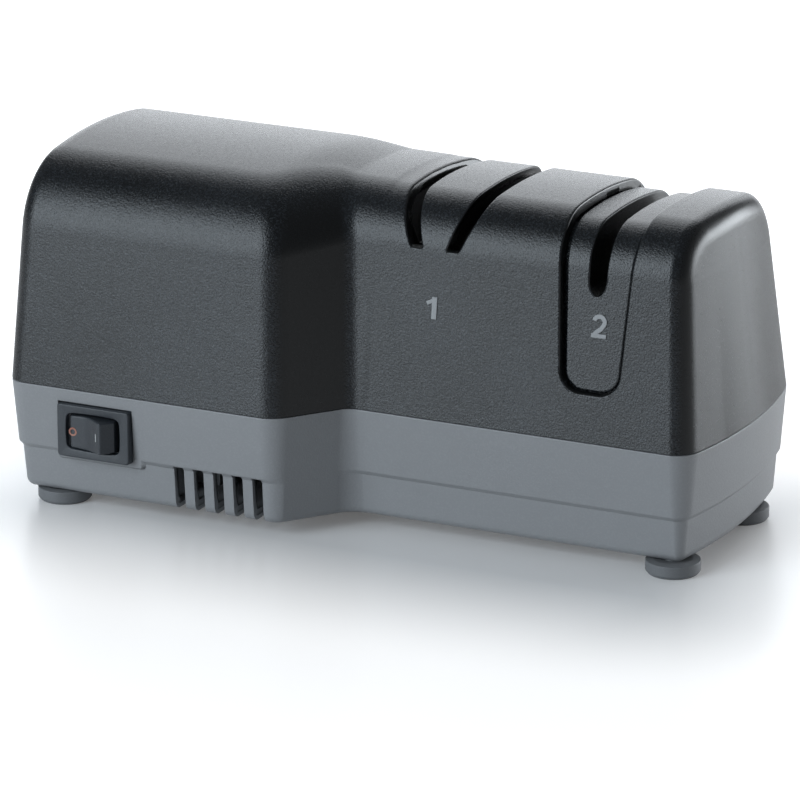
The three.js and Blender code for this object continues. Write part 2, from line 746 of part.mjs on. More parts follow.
function baseTray() {
  const grip = cleanOut.plateWidth / 2 + cleanOut.flange + cleanOut.padSpare;
  const dustMagnetY = cleanOutY + filingsMagnet.fromShaft;
  const magnetHalf = filingsMagnet.width / 2 + gap;
  const ribHalf = magnetHalf + filingsMagnet.ribThickness;
  const into = innerFloor - gap;
  const seats = [
    ...coverScrews.map(({ x, y }) => (
      rod('z', coverScrew.bossRadius, into, screwWebTop, [x, y, 0], steps.small)
    )),
    box(cleanOutX - cleanOut.padSpare, cleanOutX + cleanOutRun + cleanOut.padSpare,
      cleanOutY - grip, cleanOutY + grip, into, cleanOutPadTop),
    prism('x', [
      [shaftY - endPost.halfBottom, cleanOutPadTop - gap],
      [shaftY + endPost.halfBottom, cleanOutPadTop - gap],
      [shaftY + endPost.halfTop, shaftHeight + endPost.aboveShaft],
      [shaftY - endPost.halfTop, shaftHeight + endPost.aboveShaft],
    ], endPostX, endPostX + endPost.thickness),
    rod('y', inlet.bossRadius, back - inlet.bossInset, back - inlet.seatInset + gap,
      [inletX, 0, inletHeight]),
  ];
  for (const side of [-1, 1]) {
    const edge = side < 0 ? coreFront : coreBack;
    const inner = edge - side * (cradle.width - cradle.lipWidth);
    const outer = edge + side * cradle.lipWidth;
    const lipEdge = edge + side * gap;
    const x0 = motorX - cradle.halfLength;
    const x1 = motorX + cradle.halfLength;
    const [low, high] = [Math.min(inner, outer), Math.max(inner, outer)];
    const [lipLow, lipHigh] = [Math.min(lipEdge, outer), Math.max(lipEdge, outer)];
    seats.push(box(x0, x1, low, high, into, coreBottom - gap));
    seats.push(box(x0, x1, lipLow, lipHigh, into, coreBottom + cradle.lipRise));
    const ribY = dustMagnetY + side * (magnetHalf + filingsMagnet.ribThickness / 2);
    seats.push(box(stageOneX - filingsMagnet.length / 2, stageOneX + filingsMagnet.length / 2,
      ribY - filingsMagnet.ribThickness / 2, ribY + filingsMagnet.ribThickness / 2,
      into, innerFloor + filingsMagnet.ribRise));
  }
  const footBosses = feet.map(({ x, y }) => (
    rod('z', foot.bossRadius, footHeight, foot.bossTop, [x, y, 0])
  ));
  const cavity = cutAll(baseInside(), footBosses);
  const lipTop = seamHeight + lip.rise;
  const lipRing = planLoft([[lip.inset, rimBottom], [lip.inset, lipTop]]);
  const lipBore = planLoft([
    [rim.thickness, seamHeight - overrun],
    [rim.thickness, lipTop + overrun],
  ]);
  const lipWall = lipRing.subtract(baseInside()).subtract(lipBore);
  const shellWalls = baseOutside().add(switchPad()).subtract(cavity);
  const whole = merge([shellWalls, lipWall, ...seats]);

  const below = footHeight - overrun;
  const cuts = [];
  for (const { x, y } of coverScrews) {
    const shoulder = screwWebTop - coverScrew.webThickness;
    cuts.push(rod('z', coverScrew.headRadius + gap, below, shoulder, [x, y, 0], steps.small));
    cuts.push(rod('z', coverScrew.shankRadius + gap, below, screwWebTop + overrun, [x, y, 0],
      steps.small));
  }
  for (const { x, y } of feet) {
    cuts.push(rod('z', foot.stemRadius + gap, below, foot.stemTop + gap, [x, y, 0], steps.small));
  }
  for (let i = 0; i < vent.count; i += 1) {
    const x = cornerX - vent.toCorner + i * vent.pitch;
    const top = bandHeight - vent.belowBand;
    cuts.push(box(x, x + vent.width, front - overrun, front + vent.depth, below, top));
  }
  const openHalfWidth = switchBody.width / 2 + gap;
  const openHalfHeight = switchBody.height / 2 + gap;
  const seatHalfWidth = bezel.width / 2 + gap;
  const seatHalfHeight = bezel.height / 2 + gap;
  cuts.push(box(switchX - openHalfWidth, switchX + openHalfWidth, front - overrun,
    front + switchBody.depth, switchHeight - openHalfHeight, switchHeight + openHalfHeight));
  cuts.push(box(switchX - seatHalfWidth, switchX + seatHalfWidth, front - overrun,
    front + switchBody.seatInset, switchHeight - seatHalfHeight, switchHeight + seatHalfHeight));
  cuts.push(rod('y', inlet.sleeve + gap, back - inlet.bossInset - overrun, back + overrun,
    [inletX, 0, inletHeight]));
  cuts.push(rod('y', inlet.flangeRadius + gap, back - inlet.seatInset, back + overrun,
    [inletX, 0, inletHeight]));
  cuts.push(rod('x', bush.outer + gap, endPostX - overrun,
    endPostX + endPost.thickness + overrun, [0, shaftY, shaftHeight]));
  const plateHalf = cleanOut.plateWidth / 2 + gap;
  const flangeHalf = plateHalf + cleanOut.flange;
  const runStart = cleanOutX - gap;
  const runEnd = cleanOutX + cleanOutRun + gap;
  cuts.push(box(runStart, runEnd, cleanOutY - plateHalf, cleanOutY + plateHalf,
    below, footHeight + cleanOut.mouth));
  cuts.push(box(runStart, runEnd, cleanOutY - flangeHalf, cleanOutY + flangeHalf,
    footHeight + cleanOut.mouth, cleanOutTop + 2 * gap));
  const chuteHalf = cleanOut.plateWidth / 2 - cleanOut.chuteInset;
  const chuteEnd = cleanOutX + cleanOut.plateLength - cleanOut.chuteInset;
  cuts.push(box(cleanOutX + cleanOut.chuteInset, chuteEnd, cleanOutY - chuteHalf,
    cleanOutY + chuteHalf, below, cleanOutPadTop + overrun));
  return cutAll(whole, cuts);
}

// Motor: a shaded-pole frame motor, laminated core upright, its coil round the lower leg

const bush = { outer: 4.7, halfLength: 3.5 };
const shaftBore = shaftRadius + gap;
const rotor = { radius: 13, halfLength: 14 };
const window = { belowShaft: 30, height: 11, sideLimb: 10 };
const windowBottom = shaftHeight - window.belowShaft;
const windowTop = windowBottom + window.height;
const bobbin = { wall: 1.2, flange: 1.5, fromLimb: 0.5 };
const bobbinHalf = core.width / 2 - window.sideLimb - bobbin.fromLimb;
const coil = { build: 7 };
const bracket = {
  standOff: 5,
  thickness: 3,
  inset: 1,
  height: 14,
  round: 6,
  hubRadius: 8,
  hubHalf: 3,
  lugRadius: 4,
  lugInset: 4.5,
};
const bracketWidth = core.width - 2 * bracket.inset;
const lugOffset = core.width / 2 - bracket.lugInset;
const motorBolt = { shankRadius: 1.8, headRadius: 3.4, headHeight: 2.6 };
const coreEnd = { left: motorX - core.halfStack, right: motorX + core.halfStack };

piece('base_tray', baseTray(), basePlastic());

function motorCore() {
  const height = coreTop - coreBottom;
  const middle = coreBottom + height / 2;
  const outline = roundedRectangle(shaftY, middle, core.width, height, core.round);
  const limbHalf = core.width / 2 - window.sideLimb;
  return cutAll(prism('x', outline, coreEnd.left, coreEnd.right), [
    box(coreEnd.left - overrun, coreEnd.right + overrun, shaftY - limbHalf, shaftY + limbHalf,
      windowBottom, windowTop),
    rod('x', rotor.radius + 2 * gap, coreEnd.left - overrun, coreEnd.right + overrun,
      [0, shaftY, shaftHeight]),
    ...[-1, 1].map((side) => rod('x', motorBolt.shankRadius + gap, coreEnd.left - overrun,
      coreEnd.right + overrun, [0, shaftY + side * lugOffset, shaftHeight], steps.small)),
  ]);
}

// A square sleeve round the core's lower leg, from one depth off the leg to another
function legSleeve(inner, outer, start, end) {
  const round = (depth) => {
    const width = 2 * (core.halfStack + depth);
    const height = windowBottom - coreBottom + 2 * depth;
    const middle = (windowBottom + coreBottom) / 2;
    return prism('y', roundedRectangle(motorX, middle, width, height, depth), start, end);
  };
  return round(outer).subtract(round(inner));
}

function bearingBracket(side) {
  const face = side < 0 ? coreEnd.left : coreEnd.right;
  const at = (distance) => face + side * distance;
  const span = (a, b) => [Math.min(at(a), at(b)), Math.max(at(a), at(b))];
  const plate = roundedRectangle(shaftY, shaftHeight, bracketWidth, bracket.height, bracket.round);
  const middle = bracket.standOff + bracket.thickness / 2;
  const lugs = [-1, 1].map((end) => [0, shaftY + end * lugOffset, shaftHeight]);
  const whole = merge([
    prism('x', plate, ...span(bracket.standOff, bracket.standOff + bracket.thickness)),
    rod('x', bracket.hubRadius, ...span(middle - bracket.hubHalf, middle + bracket.hubHalf),
      [0, shaftY, shaftHeight]),
    ...lugs.map((place) => rod('x', bracket.lugRadius, ...span(gap, middle), place, steps.small)),
  ]);
  const through = span(-overrun, 2 * middle + overrun);
  return cutAll(whole, [
    rod('x', bush.outer + gap, ...through, [0, shaftY, shaftHeight]),
    ...lugs.map((place) => rod('x', motorBolt.shankRadius + gap, ...through, place, steps.small)),
  ]);
}

piece('motor_core', motorCore(), finish(0x7d8084, 0.45, 1));
const bobbinEnds = [shaftY - bobbinHalf, shaftY + bobbinHalf];
const bobbinDepth = gap + bobbin.wall;
piece('coil_bobbin', merge([
  legSleeve(gap, bobbinDepth, ...bobbinEnds),
  legSleeve(gap, bobbinDepth + coil.build, bobbinEnds[0], bobbinEnds[0] + bobbin.flange),
  legSleeve(gap, bobbinDepth + coil.build, bobbinEnds[1] - bobbin.flange, bobbinEnds[1]),
]), finish(0xe6e2d6, 0.6));
piece('motor_coil', legSleeve(bobbinDepth + gap, bobbinDepth + coil.build - gap,
  bobbinEnds[0] + bobbin.flange + gap, bobbinEnds[1] - bobbin.flange - gap),
finish(0xa65a2a, 0.35, 0.6));

const bracketMiddle = bracket.standOff + bracket.thickness / 2;
const bracketOuter = bracket.standOff + bracket.thickness;
const bushPlaces = {
  left: coreEnd.left - bracketMiddle,
  right: coreEnd.right + bracketMiddle,
  end: endPostX + endPost.thickness / 2,
};
piece('bearing_bracket_left', bearingBracket(-1), castZinc());
piece('bearing_bracket_right', bearingBracket(1), castZinc());
for (const [name, x] of Object.entries(bushPlaces)) {
  const bearing = tube('x', shaftBore, bush.outer, -bush.halfLength, bush.halfLength, [0, 0, 0]);
  piece(`bush_${name}`, bearing, bronze(), groupAt(x, shaftY, shaftHeight));
}
for (const [name, side] of [['front', -1], ['rear', 1]]) {
  const seat = coreEnd.left - bracketOuter - gap;
  const tip = coreEnd.right + bracketOuter;
  const bolt = turned([
    [0, seat - motorBolt.headHeight],
    [motorBolt.headRadius, seat - motorBolt.headHeight],
    [motorBolt.headRadius, seat],
    [motorBolt.shankRadius, seat],
    [motorBolt.shankRadius, tip],
    [0, tip],
  ], 'x', [0, 0, 0], steps.small);
  const place = groupAt(0, shaftY + side * lugOffset, shaftHeight);
  piece(`motor_bolt_${name}`, bolt, steel(), place);
}

// Spindle: the shaft with the rotor, the fan, two drive pins and two collars, all turning as one

const spindle = groupAt(0, shaftY, shaftHeight);
const axisOrigin = [0, 0, 0];
const shaftEnds = { pastFan: 3, pastBush: 4 };
const drivePin = { radius: 1, halfLength: 5.2, fromStage: 4.65 };
const collar = { radius: 5.5, thickness: 1.7 };
const diskSpring = { inner: 3.8, outer: 5.2 };

const shaftSpan = [
  coreEnd.left - fan.fromCore - fan.depth - shaftEnds.pastFan,
  bushPlaces.end + bush.halfLength + shaftEnds.pastBush,
];
const pinHoles = [-1, 1].map((side) => rod('z', drivePin.radius + gap, -shaftRadius - overrun,
  shaftRadius + overrun, [stageOneX + side * drivePin.fromStage, 0, 0], steps.small));
const plainShaft = rod('x', shaftRadius, ...shaftSpan, axisOrigin);
piece('drive_shaft', cutAll(plainShaft, pinHoles), steel(), spindle);
piece('motor_rotor', tube('x', shaftBore, rotor.radius, motorX - rotor.halfLength,
  motorX + rotor.halfLength, axisOrigin), finish(0x8d9196, 0.4, 1), spindle);

function coolingFan() {
  const plateX = coreEnd.left - fan.fromCore;
  const outX = plateX - fan.depth;
  const blades = Array.from({ length: fan.blades }, (_, i) => (
    box(outX, plateX, -fan.blade / 2, fan.blade / 2, fan.hubRadius - gap, fan.radius - gap)
      .rotate([THREE.MathUtils.radToDeg((fullTurn * i) / fan.blades), 0, 0])
  ));
  return merge([
    tube('x', shaftBore, fan.hubRadius, outX, plateX, axisOrigin),
    tube('x', shaftBore, fan.radius, plateX - fan.plate, plateX, axisOrigin),
    ...blades,
  ]);
}
piece('cooling_fan', coolingFan(), finish(0xd8d8d2, 0.5), spindle);

function diskFace(radius) {
  return -disk.faceAtEdge + disk.coneShare * (radius - (disk.radius - disk.edgeInset));
}

// One disk: a shallow steel cone on a hub, with a slot for the drive pin in the hub's inner end
function abrasiveDisk(side) {
  const flip = (along) => -side * along;
  const back = (radius) => diskFace(radius) + disk.thickness;
  const profile = [
    [shaftBore, -disk.hubOuter],
    [disk.hubRadius, -disk.hubOuter],
    [disk.hubRadius, diskFace(disk.hubRadius)],
    [disk.radius, diskFace(disk.radius)],
    [disk.radius, back(disk.radius)],
    [disk.sleeveRadius, back(disk.sleeveRadius)],
    [disk.sleeveRadius, -disk.hubInner],
    [shaftBore, -disk.hubInner],
  ].map(([radius, along]) => [radius, flip(along)]);
  const slotHalf = drivePin.radius + gap;
  const slotStart = drivePin.fromStage + slotHalf + disk.travel;
  const [x0, x1] = [flip(-slotStart), flip(-disk.hubInner + overrun)];
  const slot = box(Math.min(x0, x1), Math.max(x0, x1), -slotHalf, slotHalf,
    -drivePin.halfLength - gap, drivePin.halfLength + gap);
  return turned(profile, 'x', axisOrigin).subtract(slot);
}

for (const [name, side] of [['left', -1], ['right', 1]]) {
  const seat = groupAt(stageOneX, 0, 0, spindle);
  piece(`abrasive_disk_${name}`, abrasiveDisk(side), finish(0x8a8678, 0.75, 0.7), seat);
  const pin = rod('z', drivePin.radius, -drivePin.halfLength, drivePin.halfLength,
    [side * drivePin.fromStage, 0, 0], steps.small);
  piece(`drive_pin_${name}`, pin, steel(), seat);
  const inner = side * (disk.hubOuter + gap);
  const outer = inner + side * collar.thickness;
  piece(`disk_collar_${name}`, tube('x', shaftBore, collar.radius, Math.min(inner, outer),
    Math.max(inner, outer), axisOrigin), steel(), seat);
}
const springHalf = disk.hubInner - gap;
piece('disk_spring', tube('x', diskSpring.inner, diskSpring.outer, -springHalf, springHalf,
  axisOrigin), steel(), groupAt(stageOneX, 0, 0, spindle));

// Stage 1 knife guide: a block under the roof with both leaning slots, open to the disks below

const guideMagnet = { length: 24, height: 8, thickness: 3, belowRoof: 22.5 };
const guideMagnetBottom = mainRoof - guideMagnet.belowRoof;
const guideSpare = 0.2;
const diskClear = 1.2;

function knifeGuide() {
  const block = box(stageOneX - guideBlock.half, stageOneX + guideBlock.half,
    mainFront + guideBlock.frontInset, back - guideBlock.backInset, mainRoof - guideBlock.belowRoof,
    motorRoof);
  const ears = guideEars.map(({ side, x, y }) => (
    box(x - guideEar.length / 2 - (side > 0 ? gap : 0),
      x + guideEar.length / 2 + (side < 0 ? gap : 0),
      y - guideEar.width / 2, y + guideEar.width / 2, earUnderside, earTop)
  ));
  const around = [0, shaftY, shaftHeight];
  const diskHalf = disk.hubOuter + gap;
  const collarHalf = diskHalf + collar.thickness + gap;
  const cuts = [
    ...[-1, 1].map((side) => prism('y', vSlotShape(side, guideSpare, vSlotFloor - gap),
      front - overrun, back + overrun)),
    rod('x', disk.radius + diskClear, stageOneX - diskHalf, stageOneX + diskHalf, around),
    rod('x', collar.radius + diskClear, stageOneX - collarHalf, stageOneX + collarHalf, around),
    ...guideEars.map(({ x, y }) => rod('z', guideScrew.shankRadius + gap,
      earUnderside - overrun, earTop + overrun, [x, y, 0], steps.small)),
    ...[-1, 1].map((side) => {
      const face = stageOneX + side * guideBlock.half;
      const floor = face - side * (guideMagnet.thickness + gap);
      return box(Math.min(face + side * overrun, floor), Math.max(face + side * overrun, floor),
        magnetY(side) - guideMagnet.length / 2 - gap, magnetY(side) + guideMagnet.length / 2 + gap,
        guideMagnetBottom - gap, guideMagnetBottom + guideMagnet.height + gap);
    }),
  ];
  const underRoof = coverLoft(skinAt(wall + gap, seamHeight));
  return cutAll(merge([block, ...ears]).intersect(underRoof), cuts);
}

// Each magnet lies beside its ear, towards the other end of the block
function magnetY(side) {
  const beside = guideEar.offset - guideEar.width / 2 - gap;
  return shaftY + side * (guideMagnet.length / 2 - beside + 2 * gap);
}

piece('knife_guide', knifeGuide(), blackPlastic());
for (const { name, side } of guideEars) {
  const face = stageOneX + side * guideBlock.half;
  const inner = face - side * guideMagnet.thickness;
  piece(`guide_magnet_${name}`, box(Math.min(face, inner), Math.max(face, inner),
    magnetY(side) - guideMagnet.length / 2, magnetY(side) + guideMagnet.length / 2,
    guideMagnetBottom, guideMagnetBottom + guideMagnet.height), finish(0x6a6d70, 0.4, 1));
}

function screwShape(size, seat, tip) {
  return turned([
    [0, seat - size.headHeight],
    [size.headRadius, seat - size.headHeight],
    [size.headRadius, seat],
    [size.shankRadius, seat],
    [size.shankRadius, tip],
    [0, tip],
  ], 'z', [0, 0, 0], steps.small);
}

for (const { name, x, y } of guideEars) {
  const screw = screwShape(guideScrew, earUnderside - gap, earTop + guideScrew.bite);
  piece(`guide_screw_${name}`, screw, steel(), groupAt(x, y, 0));
}

// Upper cover: the dark shell, with slots, notch and posts for its screws

const screwSeat = screwWebTop - coverScrew.webThickness - gap;

function upperCover() {
  const outside = coverLoft(skinAt(0, seamHeight + gap / 2));
  const inside = coverLoft(skinAt(wall, seamHeight - overrun));
  const middleSkin = coverLoft(skinAt(wall / 2, seamHeight + gap / 2));
  const posts = [];
  for (const { x, y } of coverScrews) {
    const upper = rod('z', coverScrew.postRadius, seamHeight + overrun, motorRoof, [x, y, 0]);
    posts.push(upper.intersect(middleSkin));
    posts.push(rod('z', coverScrew.postRadius, screwWebTop + gap, seamHeight + 2 * overrun,
      [x, y, 0]));
  }
  for (const { x, y } of guideEars) {
    const post = rod('z', guideScrew.postRadius, earTop + gap, motorRoof, [x, y, 0]);
    posts.push(post.intersect(middleSkin));
  }
  const cuts = [
    ...coverScrews.map(({ x, y }) => rod('z', coverScrew.shankRadius + gap, seamHeight / 2,
      screwSeat + coverScrew.bite + coverScrew.holeSpare, [x, y, 0], steps.small)),
    ...guideEars.map(({ x, y }) => rod('z', guideScrew.shankRadius + gap, earTop - overrun,
      earTop + guideScrew.bite + coverScrew.holeSpare, [x, y, 0], steps.small)),
    ...[-1, 1].map((side) => prism('y', vSlotShape(side, 0), front - overrun, back + overrun)),
    prism('y', notchShape(0), front - overrun, back + overrun),
  ];
  return cutAll(merge([outside.subtract(inside), ...posts]), cuts);
}
piece('upper_cover', upperCover(), coverPlastic());

for (const { name, x, y } of coverScrews) {
  const screw = screwShape(coverScrew, screwSeat, screwSeat + coverScrew.bite);
  piece(`cover_screw_${name}`, screw, steel(), groupAt(x, y, 0));
}

// Stage 2 module: a dark insert in the notch, with its slot and a pocket for the honing wheels

const insert = {
  faceRecess: 1,
  roofRecess: 2.3,
  draftShare: 0.02,
  flangeReach: 2.5,
  flangeThickness: 2.2,
  blockHalf: 8.6,
  blockBelowSlot: 3,
};
const wheel = { radius: 9.5, hubRadius: 3.6, backRadius: 4.6, tread: 1.2, outer: 6, inner: 0.25 };
const wheelTread = 2.7;
const axle = { radius: 2, halfLength: 8.2, belowSlot: 5.5 };
const axleHeight = handSlotFloor - axle.belowSlot;
const blockBottom = handSlotFloor - insert.blockBelowSlot;
const cheek = { inner: 6.4, outer: 8.4, half: 6, belowAxle: 3.5 };
const cheekBottom = axleHeight - cheek.belowAxle;
const pocketSpare = 0.5;
const keeper = {
  half: 8.4,
  reach: 17,
  belowCheek: 2.5,
  thickness: 2.5,
  screwOffset: 14,
  bossRadius: 3.2,
};
const keeperScrew = { shankRadius: 1.2, headRadius: 2.4, headHeight: 1.8, bite: 6 };
const keeperTop = cheekBottom - keeper.belowCheek;
const keeperBottom = keeperTop - keeper.thickness;
const wheelY = mainMiddle;

function stageTwoModule() {
  const plugSkin = {
    side: insert.faceRecess,
    roof: insert.roofRecess,
    draftShare: insert.draftShare,
    bottom: seamHeight,
  };
  const through = [front - overrun, back + overrun];
  const plug = coverLoft(plugSkin).intersect(prism('y', notchShape(-notch.gap), ...through));
  const behind = coverLoft(skinAt(wall + gap, seamHeight));
  const flange = behind.intersect(prism('y', notchShape(insert.flangeReach), ...through));
  const hollow = coverLoft(skinAt(wall + gap + insert.flangeThickness, seamHeight - overrun));
  const block = box(stageTwoX - insert.blockHalf, stageTwoX + insert.blockHalf, front, back,
    blockBottom, motorRoof).intersect(behind);
  const cheeks = [-1, 1].map((side) => {
    const [a, b] = [stageTwoX + side * cheek.inner, stageTwoX + side * cheek.outer];
    return box(Math.min(a, b), Math.max(a, b), wheelY - cheek.half, wheelY + cheek.half,
      cheekBottom, blockBottom + gap);
  });
  const bosses = [-1, 1].map((side) => rod('z', keeper.bossRadius, keeperTop + gap,
    blockBottom + gap, [stageTwoX, wheelY + side * keeper.screwOffset, 0], steps.small));
  const pocketHalf = wheel.radius + pocketSpare;
  const pocketSide = wheel.outer + gap;
  const axleHalf = cheek.outer + overrun;
  return cutAll(merge([plug.add(flange).subtract(hollow), block, ...cheeks, ...bosses]), [
    prism('y', handSlotShape(0), ...through),
    box(stageTwoX - pocketSide, stageTwoX + pocketSide, wheelY - pocketHalf, wheelY + pocketHalf,
      cheekBottom, axleHeight + wheel.radius + pocketSpare),
    rod('x', axle.radius + gap, stageTwoX - axleHalf, stageTwoX + axleHalf,
      [0, wheelY, axleHeight], steps.small),
    box(stageTwoX - axleHalf, stageTwoX + axleHalf, wheelY - axle.radius - gap,
      wheelY + axle.radius + gap, cheekBottom - overrun, axleHeight),
    ...[-1, 1].map((side) => rod('z', keeperScrew.shankRadius + gap, keeperTop - overrun,
      keeperTop + keeperScrew.bite + gap, [stageTwoX, wheelY + side * keeper.screwOffset, 0],
      steps.small)),
  ]);
}
piece('stage_two_module', stageTwoModule(), coverPlastic());

const wheelSet = groupAt(stageTwoX, wheelY, axleHeight);
const axleRod = rod('x', axle.radius, -axle.halfLength, axle.halfLength, axisOrigin);
piece('honing_axle', axleRod, steel(), wheelSet);
for (const [name, side] of [['left', -1], ['right', 1]]) {
  const profile = [
    [axle.radius + gap, wheel.outer],
    [wheel.backRadius, wheel.outer],
    [wheel.backRadius, wheelTread + 2 * wheel.tread],
    [wheel.radius, wheelTread + wheel.tread],
    [wheel.radius, wheelTread],
    [wheel.hubRadius, wheel.inner],
    [axle.radius + gap, wheel.inner],
  ].map(([radius, along]) => [radius, side * along]);
  const wheelBody = turned(profile, 'x', axisOrigin);
  piece(`honing_wheel_${name}`, wheelBody, finish(0x8f8b7e, 0.7, 0.6), wheelSet);
}

function wheelKeeper() {
  const z0 = keeperBottom;
  const plate = box(-keeper.half, keeper.half, -keeper.reach, keeper.reach, z0, keeperTop);
  const windowHalf = wheel.radius + pocketSpare;
  const pocketSide = wheel.outer + gap;
  const opening = box(-pocketSide, pocketSide, -windowHalf, windowHalf,
    z0 - overrun, keeperTop + overrun);
  const saddles = [-1, 1].map((side) => {
    const [a, b] = [side * cheek.inner, side * keeper.half];
    return box(Math.min(a, b), Math.max(a, b), -axle.radius, axle.radius,
      z0, axleHeight - axle.radius - gap);
  });
  return cutAll(plate.subtract(opening).add(merge(saddles)), [
    ...[-1, 1].map((side) => rod('z', keeperScrew.shankRadius + gap, z0 - overrun,
      keeperTop + overrun, [0, side * keeper.screwOffset, 0], steps.small)),
  ]);
}
piece('wheel_keeper', wheelKeeper(), blackPlastic(), groupAt(stageTwoX, wheelY, 0));
for (const [name, side] of [['front', -1], ['rear', 1]]) {
  const screw = screwShape(keeperScrew, keeperBottom - gap, keeperTop + keeperScrew.bite);
  const place = groupAt(stageTwoX, wheelY + side * keeper.screwOffset, 0);
  piece(`keeper_screw_${name}`, screw, steel(), place);
}

// Rocker switch: a black frame clipped in the base, and the rocker that tilts in it on two pins

const bezelFace = front + switchWallInset - bezel.proud;
const bezelBack = front + switchBody.seatInset - gap;
const pivotY = bezelFace + rocker.pivotDepth;

function switchHousing() {
  const { width, height, depth, openingSpare, cavityDepth } = switchBody;
  const face = roundedRectangle(switchX, switchHeight, bezel.width, bezel.height, bezel.bevel);
  const openWidth = 2 * (rocker.halfLength + openingSpare);
  const openHeight = 2 * (rocker.halfWidth + gap);
  const blades = [-1, 1].map((side) => {
    const x = switchX + side * switchBody.bladeOffset;
    return box(x - switchBody.bladeThickness / 2, x + switchBody.bladeThickness / 2,
      bezelBack + depth - gap, bezelBack + depth + switchBody.bladeReach,
      switchHeight - switchBody.bladeWidth / 2, switchHeight + switchBody.bladeWidth / 2);
  });
  return cutAll(merge([
    prism('y', face, bezelFace, bezelBack),
    box(switchX - width / 2, switchX + width / 2, bezelBack - gap, bezelBack + depth,
      switchHeight - height / 2, switchHeight + height / 2),
    ...blades,
  ]), [
    box(switchX - openWidth / 2, switchX + openWidth / 2, bezelFace - overrun,
      bezelFace + cavityDepth, switchHeight - openHeight / 2, switchHeight + openHeight / 2),
    rod('z', rocker.pinRadius + gap, switchHeight - rocker.halfWidth - rocker.pinReach - gap,
      switchHeight + rocker.halfWidth + rocker.pinReach + gap, [switchX, pivotY, 0], steps.small),
  ]);
}
piece('switch_housing', switchHousing(), blackPlastic());

const rockerShape = merge([
  prism('z', [
    [-rocker.halfLength, -rocker.shoulderHeight],
    [-rocker.halfLength + rocker.taper, rocker.bodyDepth],
    [rocker.halfLength - rocker.taper, rocker.bodyDepth],
    [rocker.halfLength, -rocker.shoulderHeight],
    [rocker.ridgeOffset, -rocker.ridgeHeight],
    [0, -rocker.foldHeight],
    [-rocker.ridgeOffset, -rocker.ridgeHeight],
  ], -rocker.halfWidth, rocker.halfWidth),
  rod('z', rocker.pinRadius, -rocker.halfWidth - rocker.pinReach,
    rocker.halfWidth + rocker.pinReach, axisOrigin, steps.small),
]);
const rockerPivot = groupAt(switchX, pivotY, switchHeight);
rockerPivot.rotation.z = -rocker.halfSwing;
piece('switch_rocker', rockerShape, blackPlastic(), rockerPivot);

// Cord inlet: a bush through the rear wall, with a flange outside and a ring inside

const inletProfile = [
  [inlet.bore, back - inlet.seatInset + gap + inlet.flangeThickness],
  [inlet.flangeRadius, back - inlet.seatInset + gap + inlet.flangeThickness],
  [inlet.flangeRadius, back - inlet.seatInset + gap],
  [inlet.sleeve, back - inlet.seatInset + gap],
  [inlet.sleeve, back - inlet.bossInset - gap],
  [inlet.nutRadius, back - inlet.bossInset - gap],
  [inlet.nutRadius, back - inlet.bossInset - gap - inlet.nutThickness],
  [inlet.bore, back - inlet.bossInset - gap - inlet.nutThickness],
];
piece('cord_inlet_bush', turned(inletProfile, 'y', [inletX, 0, inletHeight]), blackPlastic());

// Clean-out cover: a plate that slides along the underside to empty the metal dust

function cleanOutCover() {
  const half = cleanOut.plateWidth / 2;
  const wide = half + cleanOut.flange;
  const low = footHeight + gap;
  const shoulder = footHeight + cleanOut.mouth + gap;
  const outline = [
    [cleanOutY - half, low],
    [cleanOutY + half, low],
    [cleanOutY + half, shoulder],
    [cleanOutY + wide, shoulder],
    [cleanOutY + wide, cleanOutTop + gap],
    [cleanOutY - wide, cleanOutTop + gap],
    [cleanOutY - wide, shoulder],
    [cleanOutY - half, shoulder],
  ];
  return prism('x', outline, cleanOutX, cleanOutX + cleanOut.plateLength);
}
piece('clean_out_cover', cleanOutCover(), basePlastic());
const magnetMiddle = cleanOutY + filingsMagnet.fromShaft;
const magnetBar = box(stageOneX - filingsMagnet.length / 2, stageOneX + filingsMagnet.length / 2,
  magnetMiddle - filingsMagnet.width / 2, magnetMiddle + filingsMagnet.width / 2,
  cleanOutPadTop + gap, cleanOutPadTop + gap + filingsMagnet.height);
piece('filings_magnet', magnetBar, finish(0x6a6d70, 0.4, 1));

// Terminal block, on the tray's floor by the cord inlet, with two screws sunk in its top

const coilReach = core.halfStack + bobbinDepth + coil.build;
const terminalX = motorX - coilReach - terminal.beforeCoil - terminal.length;
const terminalY = shaftY + terminal.fromShaft;
const terminalFoot = innerFloor + gap;
const terminalTop = terminalFoot + terminal.height;
const terminalScrews = [0, 1].map((i) => ({
  name: i === 0 ? 'left' : 'right',
  x: terminalX + (terminal.length * (2 * i + 1)) / 4,
  y: terminalY + terminal.screwFromFront,
}));
const screwFloor = terminalTop - terminal.screwSink - terminal.screwHeight;
piece('terminal_block', cutAll(
  box(terminalX, terminalX + terminal.length, terminalY, terminalY + terminal.width,
    terminalFoot, terminalTop),
  terminalScrews.map(({ x, y }) => (
    rod('z', terminal.screwRadius + gap, screwFloor - gap, terminalTop + overrun, [x, y, 0],
      steps.small)
  )),
), finish(0xe4e0d4, 0.6));
for (const { name, x, y } of terminalScrews) {
  const screw = rod('z', terminal.screwRadius, screwFloor, terminalTop - terminal.screwSink,
    axisOrigin, steps.small);
  piece(`terminal_screw_${name}`, screw, steel(), groupAt(x, y, 0));
}

// Inner leads: round wires bent along smooth paths, each stopping just short of what it joins

